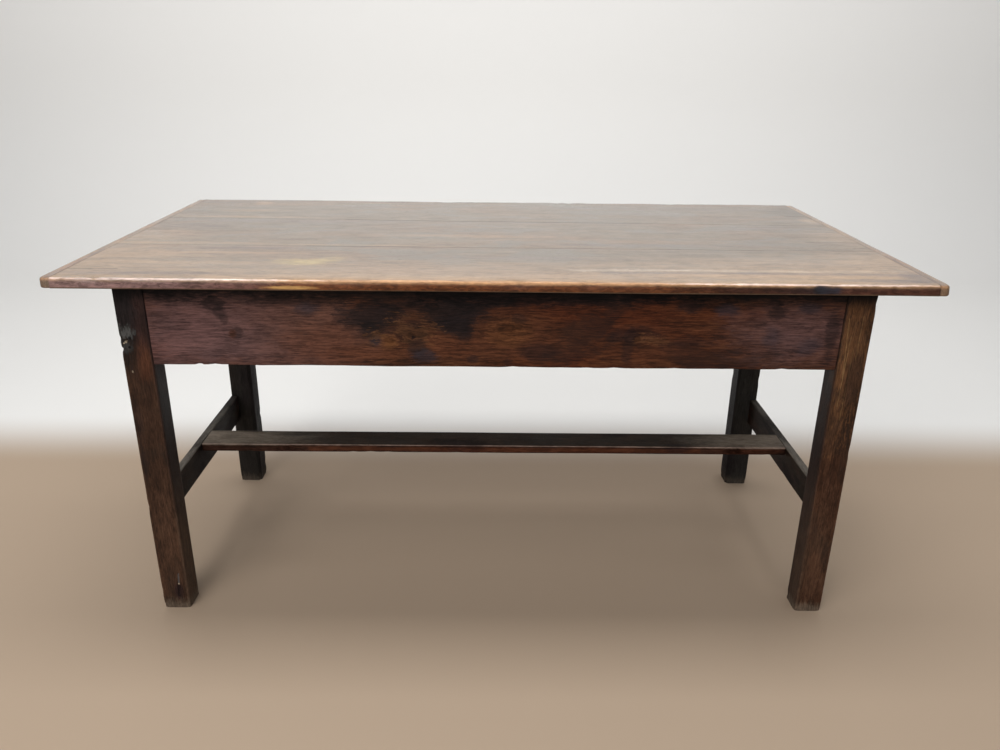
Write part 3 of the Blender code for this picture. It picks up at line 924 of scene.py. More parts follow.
def block(name: str, low: Vector, high: Vector) -> Bench:
    """Lays down a block to be shaped.

    Args:
        name: The piece's name.
        low: Its low corner.
        high: Its high corner.

    Returns:
        The piece on the bench.
    """
    bpy.ops.object.select_all(action="DESELECT")
    bpy.ops.mesh.primitive_cube_add(size=1, location=(low + high) / 2)
    thing = bpy.context.object
    thing.name = name
    thing.data.name = name
    thing.scale = high - low
    bpy.ops.object.transform_apply(location=True, rotation=True, scale=True)
    return Bench(thing)


TAN = Stain((0.40, 0.235, 0.110), 0.50, 0.8, 0.8)
WARM = Stain((0.385, 0.245, 0.145), 0.60, 0.3, 0.9)
HONEY = Stain((0.50, 0.360, 0.130), 0.65, 0.8, 0.7)
PLUM = Stain((0.140, 0.092, 0.084), 0.55, 0.8, 0.7)
CREAM = Stain((0.62, 0.50, 0.38), 0.38, 2.6, 0.6)
ARRIS = Stain((0.58, 0.31, 0.150), 0.62, 0.6, 0.6, 0.1)
# a painted highlight: a pale pink-white line along the polished ends of the front arris
PAINTED_HIGHLIGHT = Stain((0.86, 0.68, 0.62), 0.75, 0.9, 0.5, -0.1)
GRIME = Stain((0.022, 0.014, 0.010), 0.72, 0.6, 0.5, 0.15)
SHEEN = Stain((0, 0, 0), 0.0, 0.1, 0.3, 0.0, 0.79)
GLAZE = Stain((0, 0, 0), 0.0, 0.6, 0.5, -0.1, 0.45)
RAW = Stain((0.105, 0.068, 0.043), 0.85, 0.1, 0.1, 0.3)
# soot in joints, cracks and holes, and also painted shade: the dark bands under the top on the legs and
# aprons
SOOT_AND_SHADE = Stain((0.0030, 0.0025, 0.0029), 0.97, 0.5, 0.4, 0.2)
# painted sheen: the purple-grey haze that the polish shows on the apron
PAINTED_PURPLE_SHEEN = Stain((0.130, 0.074, 0.075), 0.74, 0.6, 0.8, -0.04)
INK = Stain((0.012, 0.0085, 0.0095), 0.85, 1.0, 0.35, 0.08)
BLUE = Stain((0.024, 0.024, 0.034), 0.65, 0.9, 0.5)
AMBER = Stain((0.150, 0.060, 0.021), 0.55, 0.9, 0.6)
CURLS = Stain((0.155, 0.066, 0.026), 0.45, 3.4, 0.3)
RUST = Stain((0.106, 0.036, 0.017), 0.60, 0.9, 0.6)
BLACK = Stain((0.010, 0.0075, 0.006), 0.80, 0.8, 0.5)
RUBBED = Stain((0.105, 0.054, 0.032), 0.45, 1.2, 0.5, 0.05)
SCUFF = Stain((0.150, 0.118, 0.088), 0.50, 1.2, 0.7, 0.25)
FILLER = Stain((0.40, 0.33, 0.24), 0.80, 0.8, 0.4, 0.3)
OCHRE = Stain((0.47, 0.27, 0.095), 0.75, 0.5, 0.5)
DARK_PLUM = Stain((0.026, 0.0135, 0.0135), 0.85, 0.7, 0.6)
GREY = Stain((0.050, 0.052, 0.052), 0.75, 1.4, 0.5)
GOLD = Stain((0.240, 0.145, 0.065), 0.45, 1.5, 0.6)
BROWN = Stain((0.118, 0.060, 0.030), 0.62, 1.0, 0.6)
RUSSET = Stain((0.145, 0.064, 0.040), 0.45, 0.8, 0.8)
# painted shade, near black, and a paler grey of it, for the back legs' faces that lie in the table's shade
PAINTED_SHADE = Stain((0.0125, 0.0114, 0.0103), 0.94, 0.3, 0.6, 0.04)
PALER_PAINTED_SHADE = Stain((0.030, 0.0288, 0.0268), 1.0, 0.5, 0.8)
# painted light: a warmer brown where light from the floor falls on the legs' inner faces
PAINTED_FLOOR_LIGHT = Stain((0.085, 0.052, 0.034), 1.0, 0.5, 0.8)
# painted sheen: the pale grey that the ends of the centre stretcher's top show
PAINTED_END_SHEEN = Stain((0.250, 0.205, 0.160), 0.80, 0.4, 0.7)
PALE_ARRIS = Stain((0.330, 0.240, 0.200), 0.75, 0.5, 0.5)
# painted reflection: the pale grey of the backdrop seen in the end stretchers' tops
PAINTED_WALL_REFLECTION = Stain((0.210, 0.185, 0.155), 0.80, 0.4, 0.8)

# The marks of use on flat faces, with painted sheen among those of the front apron, in rows for on_face,
# each table from the lowest mark to the topmost.
BOARD_MARKS = {
    "front": (
        (WARM, 1, 0, -425, 3000, 120),
        (WARM, 1, -740, -240, 140, 120),
        (WARM, 0.8, 780, -240, 120, 120),
        (TAN, 0.9, 0, -413, 3000, 18),
        (PLUM, 1, -640, -385, 150, 13),
        (PLUM, 0.9, -520, -172, 110, 12),
        (TAN, 0.8, -520, -215, 110, 9),
        (TAN, 0.7, -570, -300, 170, 10),
        (HONEY, 1, -372, -291, 46, 21),
        (HONEY, 0.5, -352, -284, -315, -262, 18),
        (WARM, 0.9, 640, -300, 260, 80),
        (CREAM, 1, 130, -335, 360, -327, 7),
        (CREAM, 1, 330, -328, 580, -335, 8),
        (CREAM, 0.7, 550, -335, 770, -325, 6),
        (replace(TAN, strength=0.40, ragged=0.5), 1, 620, -360, 240, 40),
        (PLUM, 0.9, 200, -352, 500, -345, 7),
        (PLUM, 0.9, 460, -349, 780, -352, 9),
        (TAN, 0.8, 500, -374, 300, 10),
        (PLUM, 1.1, 730, -398, 90, 14),
        (PLUM, 1.2, 775, -365, 26, 34),
        (PLUM, 0.7, 50, -240, 200, 12),
    ),
    "middle": (
        (WARM, 0.8, -780, -60, 100, 100),
        (WARM, 0.7, 780, -30, 70, 100),
        (TAN, 0.9, -660, -130, 150, 13),
        (TAN, 0.6, -330, -138, 130, 7),
        (PLUM, 0.9, -480, 118, 240, 14),
        (PLUM, 0.9, 610, 85, 100, 13),
        (TAN, 0.6, -50, -35, 180, 13),
        (PLUM, 0.7, -700, 50, 90, 30),
        (PLUM, 0.8, 330, -115, 240, 11),
    ),
    "back": (
        (TAN, 1, -620, 370, 22, 20),
        (TAN, 0.7, -620, 170, 150, 12),
        (TAN, 0.7, -630, 255, 80, 14),
        (BLACK, 0.4, 757, 300, 50, 60),
        (TAN, 1, 775, 185, 18, 30),
        (PLUM, 0.7, 450, 330, 260, 20),
    ),
}

# On the front legs, by how many millimetres their blots reach into the wood.
LEG_MARKS = {
    "left": {
        30: (
            (RUST, 0.8, -690, 600, 15, 50),
            (DARK_PLUM, 1, -700, 690, 45, 85),
            (replace(BLACK, tint=(0.0140, 0.0122, 0.0135)), 1, -726, 690, 26, 100),
            (BLACK, 0.8, -720, 622, 22, 38),
            (GREY, 1, -718.5, 645, 14, 13),
            (GREY, 0.7, -720, 614, 12, 13),
            (replace(GREY, tint=(0.095, 0.097, 0.096), strength=0.55, ragged=2.0), 1, -719.5, 643, 12, 12),
            (RUBBED, 0.7, -700, 140, 30, 130),
            (DARK_PLUM, 1, -695.5, 43, 10, 22),
            (replace(SOOT_AND_SHADE, strength=0.55, ragged=1.8), 1, -693, 58, -696.5, 32, 3),
            (replace(GREY, tint=(0.075, 0.077, 0.080), ragged=1.6), 1, -691.5, 89, -693, 65, 2),
        ),
        20: (
            (SOOT_AND_SHADE, 0.9, -712.5, 633, 3, 3.5),
            (SOOT_AND_SHADE, 0.9, -715.5, 614, 2.8, 3),
            (FILLER, 1, -725.5, 622.5, -719, 627.5, 1.6),
            (FILLER, 0.8, -721.5, 624.5, 3, 2.2),
        ),
        10: (
            (FILLER, 0.6, -717, 563, 1.4, 2.2),
            (replace(FILLER, ragged=0.3), 1, -693, 63, 1.8, 2.2),
        ),
    },
    "right": {
        30: (
            (BROWN, 1, 700, 620, 34, 105),
            (CURLS, 0.7, 696, 600, 26, 100),
            (BROWN, 0.3, 690, 470, 18, 80),
            (GOLD, 1, 684, 685, 690, 560, 0.9),
            (GOLD, 1, 693, 650, 689, 500, 0.8),
            (GOLD, 0.8, 702, 620, 699, 470, 0.7),
            (GOLD, 0.8, 711, 690, 709, 600, 0.7),
            (INK, 0.6, 712, 560, 14, 50),
            (RUBBED, 0.9, 696, 140, 30, 140),
        ),
    },
}

APRON_MARKS = (
    (PAINTED_PURPLE_SHEEN, 1, -560, 650, 190, 85),
    (PAINTED_PURPLE_SHEEN, 0.8, 590, 655, 110, 55),
    (PAINTED_PURPLE_SHEEN, 0.4, -330, 640, 90, 60),
    (RUSSET, 1, -350, 655, 110, 50),
    (RUST, 0.8, -330, 625, 80, 40),
    (RUST, 1, 30, 640, 90, 40),
    (AMBER, 0.8, 20, 650, 45, 26),
    (RUST, 0.8, -150, 690, 50, 16),
    (AMBER, 0.6, -150, 686, 36, 10),
    (RUST, 0.9, -110, 618, 70, 22),
    (RUST, 0.8, -245, 604, 80, 14),
    (RUST, 0.7, 230, 667, 450, 655, 5),
    (RUST, 0.5, 283, 640, 454, 636, 4),
    (RUST, 0.5, 310, 612, 70, 20),
    (INK, 0.7, -540, 707, 21, 14),
    (INK, 0.6, -533, 688, 11, 12),
    (INK, 0.55, -526, 672, 7, 10),
    (INK, 0.6, -503, 644, 11, 13),
    (RUST, 0.8, -513, 643, 6, 9),
    (BLUE, 1, -363, 697, 22, 13),
    (INK, 0.5, -400, 712, 80, 12),
    (INK, 1, -240, 684, 60, 30),
    (INK, 1, -243, 656, 26, 20),
    (INK, 0.9, -237, 636, 12, 14),
    (BLUE, 0.7, -235, 632, 12, 10),
    (INK, 1, -85, 692, 66, 28),
    (INK, 1, -74, 668, 38, 22),
    (INK, 0.9, -63, 652, 20, 20),
    (INK, 0.8, -165, 648, 28, 24),
    (INK, 0.6, -160, 700, 40, 16),
    (AMBER, 1.2, -208, 630, 15, 15),
    (CURLS, 1, -172, 645, 34, 22),
    (CURLS, 0.8, -236, 640, 20, 14),
    (INK, 0.7, -155, 618, 18, 16),
    (replace(INK, strength=0.45, ragged=1.6), 1, -146, 605, 30, 13),
    (replace(BLUE, strength=0.50, ragged=1.6), 1, -138, 600, 26, 10),
    (replace(INK, strength=0.55, ragged=1.5), 1, -45, 596, 11, 7),
    (INK, 0.5, 24, 590, 10, 8),
    (replace(INK, strength=0.50, ragged=1.5), 1, 45, 681, 14, 9),
    (INK, 0.65, 82, 612, 34, 18),
    (INK, 0.6, 270, 647, 55, 16),
    (INK, 0.5, 262, 650, 256, 598, 11),
    (CURLS, 0.8, 300, 638, 22, 8),
    (INK, 0.4, 390, 634, 40, 10),
    (BLUE, 1, 445, 702, 20, 10),
    (INK, 0.8, 372, 706, 30, 14),
    (INK, 0.8, 540, 695, 18, 14),
    (BLUE, 0.9, 606, 706, 24, 11),
    (BLUE, 0.7, 536, 640, 16, 20),
    (BLUE, 0.8, 612, 628, 22, 18),
    (INK, 0.7, 655, 650, 12, 50),
    (INK, 0.8, 100, 728, 260, 22),
    (INK, 0.7, -610, 728, 60, 16),
)


@dataclass
class TableTop:
    """Three boards with a worn nosing, and the cleats across their ends.

    Attributes:
        cell: The size of the mesh's cells.
        nose: The round of the upper edge, before wear.
        under_nose: The round of the lower edge.
        corner: The round of the cleats' outer corners.
        pieces: What has been made.
        board_oak: The finish of the boards.
        cleat_oak: The finish of the cleats.
        end_tints: The colour of each cleat's end grain at the front.
        nosing_stops: The colours of the worn edge from left to right; the pale purple at the left is partly
            a painted sheen of the polish.
        dark_runs: Where a joint shows dark, as shares of its length with a strength, for the joint
            before the middle of the top and for the one behind it.
    """

    cell: float = 8 * MILLIMETRE
    nose: float = 5 * MILLIMETRE
    under_nose: float = 3 * MILLIMETRE
    corner: float = 11 * MILLIMETRE
    pieces: list[bpy.types.Object] = field(default_factory=list)

    board_oak = Oak(deep=(0.102, 0.067, 0.042), middle=(0.171, 0.118, 0.075), bright=(0.245, 0.176, 0.117),
                    murk=(0.136, 0.111, 0.084), flush=(1.10, 0.93, 0.82), rough=0.34, gleam=0.2, cloud=0.65,
                    figure=(0.10, 0.18, 0.22, 0.23, 0.25), flecks=0.25, specks=0.05)
    cleat_oak = Oak(deep=(0.160, 0.088, 0.048), middle=(0.310, 0.190, 0.110), bright=(0.440, 0.300, 0.180),
                    murk=(0.200, 0.140, 0.100), flush=(1.15, 0.92, 0.75), rough=0.42, gleam=0.2)

    end_tints = {"left": (0.150, 0.120, 0.092), "right": (0.165, 0.102, 0.062)}
    # the first two stops, pale purple, are partly a painted sheen of the polish
    nosing_stops = (
        (0.0, (0.185, 0.122, 0.118)), (0.14, (0.152, 0.093, 0.092)), (0.25, (0.100, 0.048, 0.039)),
        (0.29, (0.115, 0.040, 0.014)), (0.50, (0.100, 0.034, 0.012)), (0.68, (0.092, 0.033, 0.013)),
        (0.76, (0.046, 0.018, 0.011)), (0.86, (0.026, 0.014, 0.014)), (0.89, (0.062, 0.026, 0.019)),
        (1.0, (0.052, 0.022, 0.015)),
    )
    dark_runs = {False: ((0.25, 0.40, 0.9), (0.40, 0.85, 0.2)), True: ((0.27, 0.72, 0.9), (0.72, 0.95, 0.2))}

    def edges_at(self, node: str, end: int) -> tuple[float, float]:
        """The front and back edges of a board's top face at its left or right end.

        Args:
            node: The board's solid.
            end: -1 for the left and 1 for the right.

        Returns:
            Both places along Y.
        """
        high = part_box(node)[1]
        face = [vert.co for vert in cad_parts[node].data.vertices if near(vert.co.z, high.z, 0.001)]
        reach = max(place.x * end for place in face)
        line = [place.y for place in face if near(place.x * end, reach, 0.001)]
        return min(line), max(line)

    def edge_traces(self, which: str, low: Vector, high: Vector) -> list[Trace]:
        """The wear and the polish along the long outer edge of a board, with a painted highlight on the
        front one.

        Args:
            which: The board, front or back.
            low: Its low corner.
            high: Its high corner.

        Returns:
            The marks, the lowest first.
        """
        edge = low.y if which == "front" else high.y
        inner = edge + (0.003 if which == "front" else -0.003)
        arris = high.z - 0.001
        traces: list[Trace] = [
            Blot(ARRIS, (0.03, inner, arris), (0.50, 0.005, 0.0045)),
            Stroke(ARRIS.faint(0.6), (low.x, inner, arris), (high.x, inner, arris), 2.0 * MILLIMETRE),
        ]
        if which == "back":
            start, stop = Vector((low.x, edge, high.z - 0.012)), Vector((high.x, edge, high.z))
            sizes = ((0.02, 0.01, 0.004), (0.07, 0.01, 0.009))
            return traces + scatter(INK.faint(0.7), start, stop, 8, sizes, 5.7)
        return traces + [
            # painted highlights along the polished arris at both ends of the front nosing
            Blot(PAINTED_HIGHLIGHT, (-0.60, inner, arris), (0.24, 0.0030, 0.0024)),
            Blot(PAINTED_HIGHLIGHT.faint(0.8), (0.57, inner, arris), (0.24, 0.0026, 0.0022)),
            Blot(SOOT_AND_SHADE.faint(0.9), (0.574, edge, high.z - 0.010), (0.010, 0.005, 0.009)),
            Blot(BLUE.faint(1.35), (0.582, edge, high.z - 0.010), (0.016, 0.005, 0.010)),
            Blot(BLUE.faint(1.3), (0.604, edge, high.z - 0.011), (0.010, 0.005, 0.008)),
            Blot(OCHRE, (-0.368, edge, high.z - 0.0145), (0.040, 0.006, 0.0030)),
            Stroke(GLAZE, (-0.768, edge, high.z), (-0.400, edge, high.z), 11 * MILLIMETRE),
            Stroke(GLAZE, (0.360, edge, high.z), (0.785, edge, high.z), 8 * MILLIMETRE),
        ]

    def nosing(self, timber: Timber, colour: Port, tone: Port) -> Port:
        """Colours the upright face of the worn edge along its length, from purple by orange to black.

        Args:
            timber: The board's wood.
            colour: Its colour so far.
            tone: Its grain, from 0 to 1.

        Returns:
            The colour with the nosing's over it.
        """
        paint = timber.paint
        along, back, height = (paint.dot(timber.place, axis) for axis in (X_AXIS, Y_AXIS, Z_AXIS))
        wobble = paint.noise(timber.drawn_out(0.5), 22, 3, 0.6) - 0.5
        half_length, half_depth = 0.81, 0.425
        share = (along + wobble * 0.16) / (2 * half_length) + 0.5
        face = paint.node("ValToRGB", {"stops": self.nosing_stops}, {"Fac": share}, "Color")
        chips = paint.smooth(paint.noise(timber.drawn_out(0.35), 160, 4, 0.7, 0.8), 0.40, 0.62)
        face = paint.mix(tone * 0.55 + chips * 0.45, paint.mix(1, face, (0.30, 0.27, 0.26), "MULTIPLY"),
                         paint.mix(1, face, (2.0, 1.9, 1.8), "MULTIPLY"))
        outer = abs(back) + wobble * 0.002 + (height - 0.77) * -0.10
        return paint.mix(paint.smooth(outer, half_depth - 0.0052, half_depth - 0.0026), colour, face)

    def wear_edge(self, bench: Bench, low: Vector, high: Vector, edge: float, seed: float) -> None:
        """Rounds and batters the long outer edge of a board.

        Args:
            bench: The board being shaped.
            low: Its low corner.
            high: Its high corner.
            edge: Where the edge lies along Y.
            seed: What the wear is drawn from.
        """
        for z, wide in ((high.z, self.nose), (low.z, self.under_nose)):
            bench.bevel(lambda p, q: near(p.y, edge) and near(q.y, edge) and near(p.z, z)
                        and near(q.z, z), wide, 5)

        def worn(p: Vector, reach: float) -> float:
            """How strong the wear is at a place, most of all halfway along the edge."""
            most = 0.35 + 0.65 * fade(abs(p.x + 0.02), 0.55)
            return most * fade(abs(p.y - edge) + abs(p.z - high.z), reach)

        bench.weather("nosing", 0.05, 5 * MILLIMETRE, seed, lambda p: worn(p, 0.016), (2.5, 1, 1), 0.78)
        bench.weather("knocks", 0.012, 2 * MILLIMETRE, seed + 5, lambda p: worn(p, 0.010), (2, 1, 1), 0.7)
        inward = Vector((0, 1 if edge < 0 else -1, -0.6)) * 2.5 * MILLIMETRE
        bench.batter(Vector((low.x, edge, high.z)), Vector((high.x, edge, high.z)), inward, 9, seed)

    def board(self, which: str, seed: float) -> None:
        """Shapes and dresses one board.

        Args:
            which: front, middle or back.
            seed: Where in the tree it was cut.
        """
        node = "top_board_" + which
        low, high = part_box(node)
        edge = {"front": low.y, "middle": None, "back": high.y}[which]
        left, right = self.edges_at(node, -1), self.edges_at(node, 1)
        low.x, high.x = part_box("end_cleat_left")[1].x + FIT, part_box("end_cleat_right")[0].x - FIT
        low.y = low.y if which == "front" else left[0]
        high.y = high.y if which == "back" else left[1]
        bench = block("worn_" + node, low, high)
        if which != "front":
            bench.shift(lambda p: p.x > 0 and near(p.y, low.y), Vector((0, right[0] - left[0], 0)))
        if which != "back":
            bench.shift(lambda p: p.x > 0 and near(p.y, high.y), Vector((0, right[1] - left[1], 0)))
        bench.divide(1, self.cell)
        bench.divide(0, self.cell)
        if edge is not None:
            self.wear_edge(bench, low, high, edge, seed)
        bench.weather("cupping", 0.12, 1.2 * MILLIMETRE, 2, None, (3, 1, 1), 0.5, "Z")
        bench.weather("planing", 0.03, 0.35 * MILLIMETRE, 3, None, (5, 1, 1), 0.5, "Z")
        cracks = {
            "front": [Crack((low.x - 0.01, -0.355, high.z), (-0.700, -0.352, high.z))],
            "middle": [Crack((low.x - 0.01, 0.009, high.z), (-0.735, 0.011, high.z)),
                       Crack((high.x + 0.01, -0.070, high.z), (0.676, -0.066, high.z), width=2 * MILLIMETRE),
                       Crack((high.x + 0.01, -0.128, high.z), (0.755, -0.127, high.z))],
            "back": [Crack((high.x + 0.01, 0.245, high.z), (0.735, 0.247, high.z))],
        }[which]
        for crack in cracks:
            bench.split(crack, seed)
        timber = Timber("oak_" + node, self.board_oak, Grain.LENGTHWISE, low, high, seed)
        traces = on_face(BOARD_MARKS[which], 2, high.z, 5 * MILLIMETRE)
        if edge is not None:
            traces += self.edge_traces(which, low, high)
        for crack in cracks:
            traces.append(Stroke(GRIME, crack.start, crack.stop, 1.6 * MILLIMETRE))
        for y_left, y_right, outside in zip(left, right, ("front", "back")):
            if which == outside:
                continue
            start, stop = Vector((low.x, y_left, high.z)), Vector((high.x, y_right, high.z))
            for first, last, strength in self.dark_runs[y_left > 0]:
                ends = (tuple(start.lerp(stop, share)) for share in (first, last))
                traces.append(Stroke(GRIME.faint(strength), *ends, 1.8 * MILLIMETRE))
        for x in (low.x, high.x):
            traces.append(Band(GRIME.faint(0.2), X_AXIS, x, 1.4 * MILLIMETRE))
        traces.append(Band(SHEEN, Z_AXIS, high.z, 2.2 * MILLIMETRE))
        traces.append(Band(RAW, Z_AXIS, low.z, 2.5 * MILLIMETRE))
        self.pieces.append(bench.done(timber.finish(traces, self.nosing), "top", node))

    def cleat(self, which: str, seed: float) -> None:
        """Shapes and dresses one end cleat.

        Args:
            which: left or right.
            seed: Where in the tree it was cut.
        """
        node = "end_cleat_" + which
        low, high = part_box(node)
        outer, inner = (low.x, high.x) if which == "left" else (high.x, low.x)
        bench = block("worn_" + node, low, high)
        bench.bevel(lambda p, q: near(p.x, outer) and near(q.x, outer) and near(p.y, q.y), self.corner, 6)

        def rim(p: Vector, q: Vector, z: float) -> bool:
            """Whether an edge lies at a height, and not against the boards."""
            return near(p.z, z) and near(q.z, z) and not (near(p.x, inner) and near(q.x, inner))

        bench.bevel(lambda p, q: rim(p, q, high.z), self.nose, 4)
        bench.bevel(lambda p, q: rim(p, q, low.z), self.under_nose, 3)
        bench.divide(1, self.cell)
        bench.weather("cleat_wear", 0.06, 1.4 * MILLIMETRE, seed, None, (1, 3, 1), 0.7)
        for y in (low.y, high.y):
            inward = Vector((0, 2.0 * MILLIMETRE if y < 0 else -2.0 * MILLIMETRE, -MILLIMETRE))
            bench.batter(Vector((low.x, y, high.z)), Vector((high.x, y, high.z)), inward, 2, seed + y)
        timber = Timber("oak_" + node, self.cleat_oak, Grain.FRONT_TO_BACK, low, high, seed)
        end_grain = Stain(self.end_tints[which], 0.70, 1.2, 0.6)
        traces = [Stroke(PLUM.faint(0.9), (inner, low.y, high.z), (inner, -0.20, high.z), 9 * MILLIMETRE),
                  Band(GRIME.faint(0.35), X_AXIS, inner, 1.5 * MILLIMETRE),
                  Stroke(BLACK.faint(0.6), (outer, low.y, low.z), (outer, high.y, low.z), 11 * MILLIMETRE),
                  Band(end_grain, Y_AXIS, low.y, 3 * MILLIMETRE),
                  Stroke(ARRIS.faint(0.7), (low.x, low.y, high.z), (high.x, low.y, high.z), 5 * MILLIMETRE),
                  Band(SHEEN, Z_AXIS, high.z, 3 * MILLIMETRE),
                  Band(RAW, Z_AXIS, low.z, 1.5 * MILLIMETRE)]
        self.pieces.append(bench.done(timber.finish(traces), "cleat", node))

    def build(self) -> list[bpy.types.Object]:
        """Makes the whole top."""
        for number, which in enumerate(("front", "middle", "back")):
            self.board(which, 1.3 + number * 2.1)
        for number, which in enumerate(("left", "right")):
            self.cleat(which, 9.1 + number * 1.7)
        return self.pieces


@dataclass
class Frame:
    """The legs, the aprons and the stretchers.

    Attributes:
        cell: The size of the mesh's cells.
        arris: The round of the pieces' long edges.
        corner: The flat taken off each leg's inside corner.
        pieces: What has been made.
        leg_oak: The finish of the legs.
        end_oak_in_shade: The finish of the end stretchers, far darker and greyer than the other oak, which
            paints in the shade under the table.
        apron_oak: The finish of the aprons.
        rail_oak: The finish of the centre stretcher.
    """

    cell: float = 7 * MILLIMETRE
    arris: float = 2.2 * MILLIMETRE
    corner: float = 8 * MILLIMETRE
    pieces: list[bpy.types.Object] = field(default_factory=list)

    leg_oak = Oak(deep=(0.015, 0.0085, 0.0058), middle=(0.037, 0.0180, 0.0110), bright=(0.064, 0.033, 0.020),
                  murk=(0.019, 0.0130, 0.010), flush=(1.10, 0.94, 0.86), rough=0.48, gleam=0.10, cloud=0.6,
                  specks=0.35)
    # a far darker, greyer copy of the oak, which paints in the shade under the table
    end_oak_in_shade = Oak(deep=(0.0046, 0.0044, 0.0041), middle=(0.0130, 0.0088, 0.0066), rough=0.52, gleam=0.09,
                  bright=(0.0300, 0.0190, 0.0140), murk=(0.0115, 0.0112, 0.0105), cloud=0.6, specks=0.2)
    apron_oak = Oak(deep=(0.017, 0.0075, 0.0048), middle=(0.056, 0.0200, 0.0102), rough=0.44, gleam=0.10,
                    bright=(0.106, 0.042, 0.019), murk=(0.020, 0.0115, 0.010), cloud=0.60, specks=0.25,
                    figure=(0.05, 0.08, 0.22, 0.42, 0.23))
    rail_oak = Oak(deep=(0.011, 0.0060, 0.0042), middle=(0.037, 0.0175, 0.0120), rough=0.50, gleam=0.03,
                   bright=(0.072, 0.036, 0.025), murk=(0.013, 0.009, 0.008))

    def leg_traces(self, end: str, side: str, low: Vector, high: Vector, seed: float) -> list[Trace]:
        """The marks of use on one leg, with painted shade and painted light among them.

        Args:
            end: left or right.
            side: front or back.
            low: The leg's low corner.
            high: Its high corner.
            seed: What the scattered marks are drawn from.

        Returns:
            The marks, the lowest first.
        """
        front = low.y if side == "front" else high.y
        inner = high.x if end == "left" else low.x
        traces: list[Trace] = []
        for x in (low.x, high.x):
            traces.append(Stroke(RUBBED, (x, front, low.z), (x, front, 0.60), 3 * MILLIMETRE))
        if side == "front":
            for reach, rows in LEG_MARKS[end].items():
                traces += on_face(rows, 1, front, reach * MILLIMETRE)
        else:
            # painted shade on the back legs' front and inner faces, paler on the front face and most of all
            # on the right leg
            traces += [
                Band(PAINTED_SHADE, Y_AXIS, low.y, 7 * MILLIMETRE),
                Band(PAINTED_SHADE, X_AXIS, inner, 7 * MILLIMETRE),
                Band(PALER_PAINTED_SHADE.faint(0.45 if end == "right" else 0.15), Y_AXIS, low.y, 3 * MILLIMETRE),
            ]
            sizes = ((0.01, 0.02, 0.02), (0.03, 0.04, 0.08))
            traces += scatter(INK.faint(0.7), low, high, 5, sizes, seed)
            sizes = ((0.01, 0.02, 0.03), (0.02, 0.03, 0.08))
            traces += scatter(RUST.faint(0.3), low, high, 3, sizes, seed + 1)
        traces += scatter(INK.faint(0.5), low, high, 4, ((0.006, 0.02, 0.02), (0.016, 0.03, 0.07)), seed + 2)
        # darkens the leg's whole inner face
        traces.append(Band(INK.faint(0.75), X_AXIS, inner, 2.5 * MILLIMETRE))
        # painted light from the floor on the low part of the front legs' inner faces, more on the left leg
        if side == "front":
            lit = PAINTED_FLOOR_LIGHT.faint(0.75 if end == "left" else 0.45)
            traces.append(Blot(lit, (inner, front, 0.090), (0.005, 0.200, 0.160)))
        traces.append(Band(SCUFF.faint(1.1 if side == "front" else 0.5), Z_AXIS, low.z, 18 * MILLIMETRE))
        # painted shade under the top's overhang, darkest at the top of the leg and fading over 42 mm
        traces.append(Band(SOOT_AND_SHADE, Z_AXIS, high.z, 42 * MILLIMETRE))
        return traces

    def leg(self, end: str, side: str, seed: float) -> None:
        """Shapes and dresses one leg.

        Args:
            end: left or right.
            side: front or back.
            seed: Where in the tree it was cut.
        """
        node = "leg_%s_%s" % (side, end)
        low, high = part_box(node)
        inner = Vector((high.x if end == "left" else low.x, high.y if side == "front" else low.y, 0))
        outer = low + high - inner
        bench = block("worn_" + node, low, high)
        middle = (low + high) / 2
        for axis in (0, 1):
            inward = 0.006 if inner[axis] > outer[axis] else -0.006
            bench.slice(axis, [middle[axis] + inward * step for step in range(-3, 4)])
        bench.divide(2, self.cell)

        def upright_at(p: Vector, q: Vector, x: float, y: float) -> bool:
            """Whether an edge is the upright one at this corner."""
            return near(p.x, x) and near(q.x, x) and near(p.y, y) and near(q.y, y)

        bench.bevel(lambda p, q: upright_at(p, q, inner.x, inner.y), self.corner, 1)
        for x, y in ((outer.x, outer.y), (outer.x, inner.y), (inner.x, outer.y)):
            bench.bevel(lambda p, q: upright_at(p, q, x, y), self.arris, 3)
        bench.weather("foot", 0.012, 3.5 * MILLIMETRE, seed,
                      lambda p: 0 if near(p.z, low.z) else fade(p.z, 0.030), (1, 1, 2), 0.8)
        bench.weather("adze", 0.06, 1.0 * MILLIMETRE, seed + 1,
                      lambda p: 0 if near(p.z, low.z) else 1, (1, 1, 3))
        for x, y in ((outer.x, outer.y), (inner.x, outer.y), (outer.x, inner.y)):
            inward = Vector((middle.x - x, middle.y - y, 0)).normalized() * 2 * MILLIMETRE
            bench.batter(Vector((x, y, 0.02)), Vector((x, y, 0.72)), inward, 3, seed + x + y)
            bench.dent(Vector((x, y, 0)), inward * 1.1, 11 * MILLIMETRE)
        if side == "front" and end == "left":
            self.knot_hole(bench)
        timber = Timber("oak_" + node, self.leg_oak, Grain.UPRIGHT, low, high, seed)
        traces = self.leg_traces(end, side, low, high, seed)
        self.pieces.append(bench.done(timber.finish(traces), "leg", node))

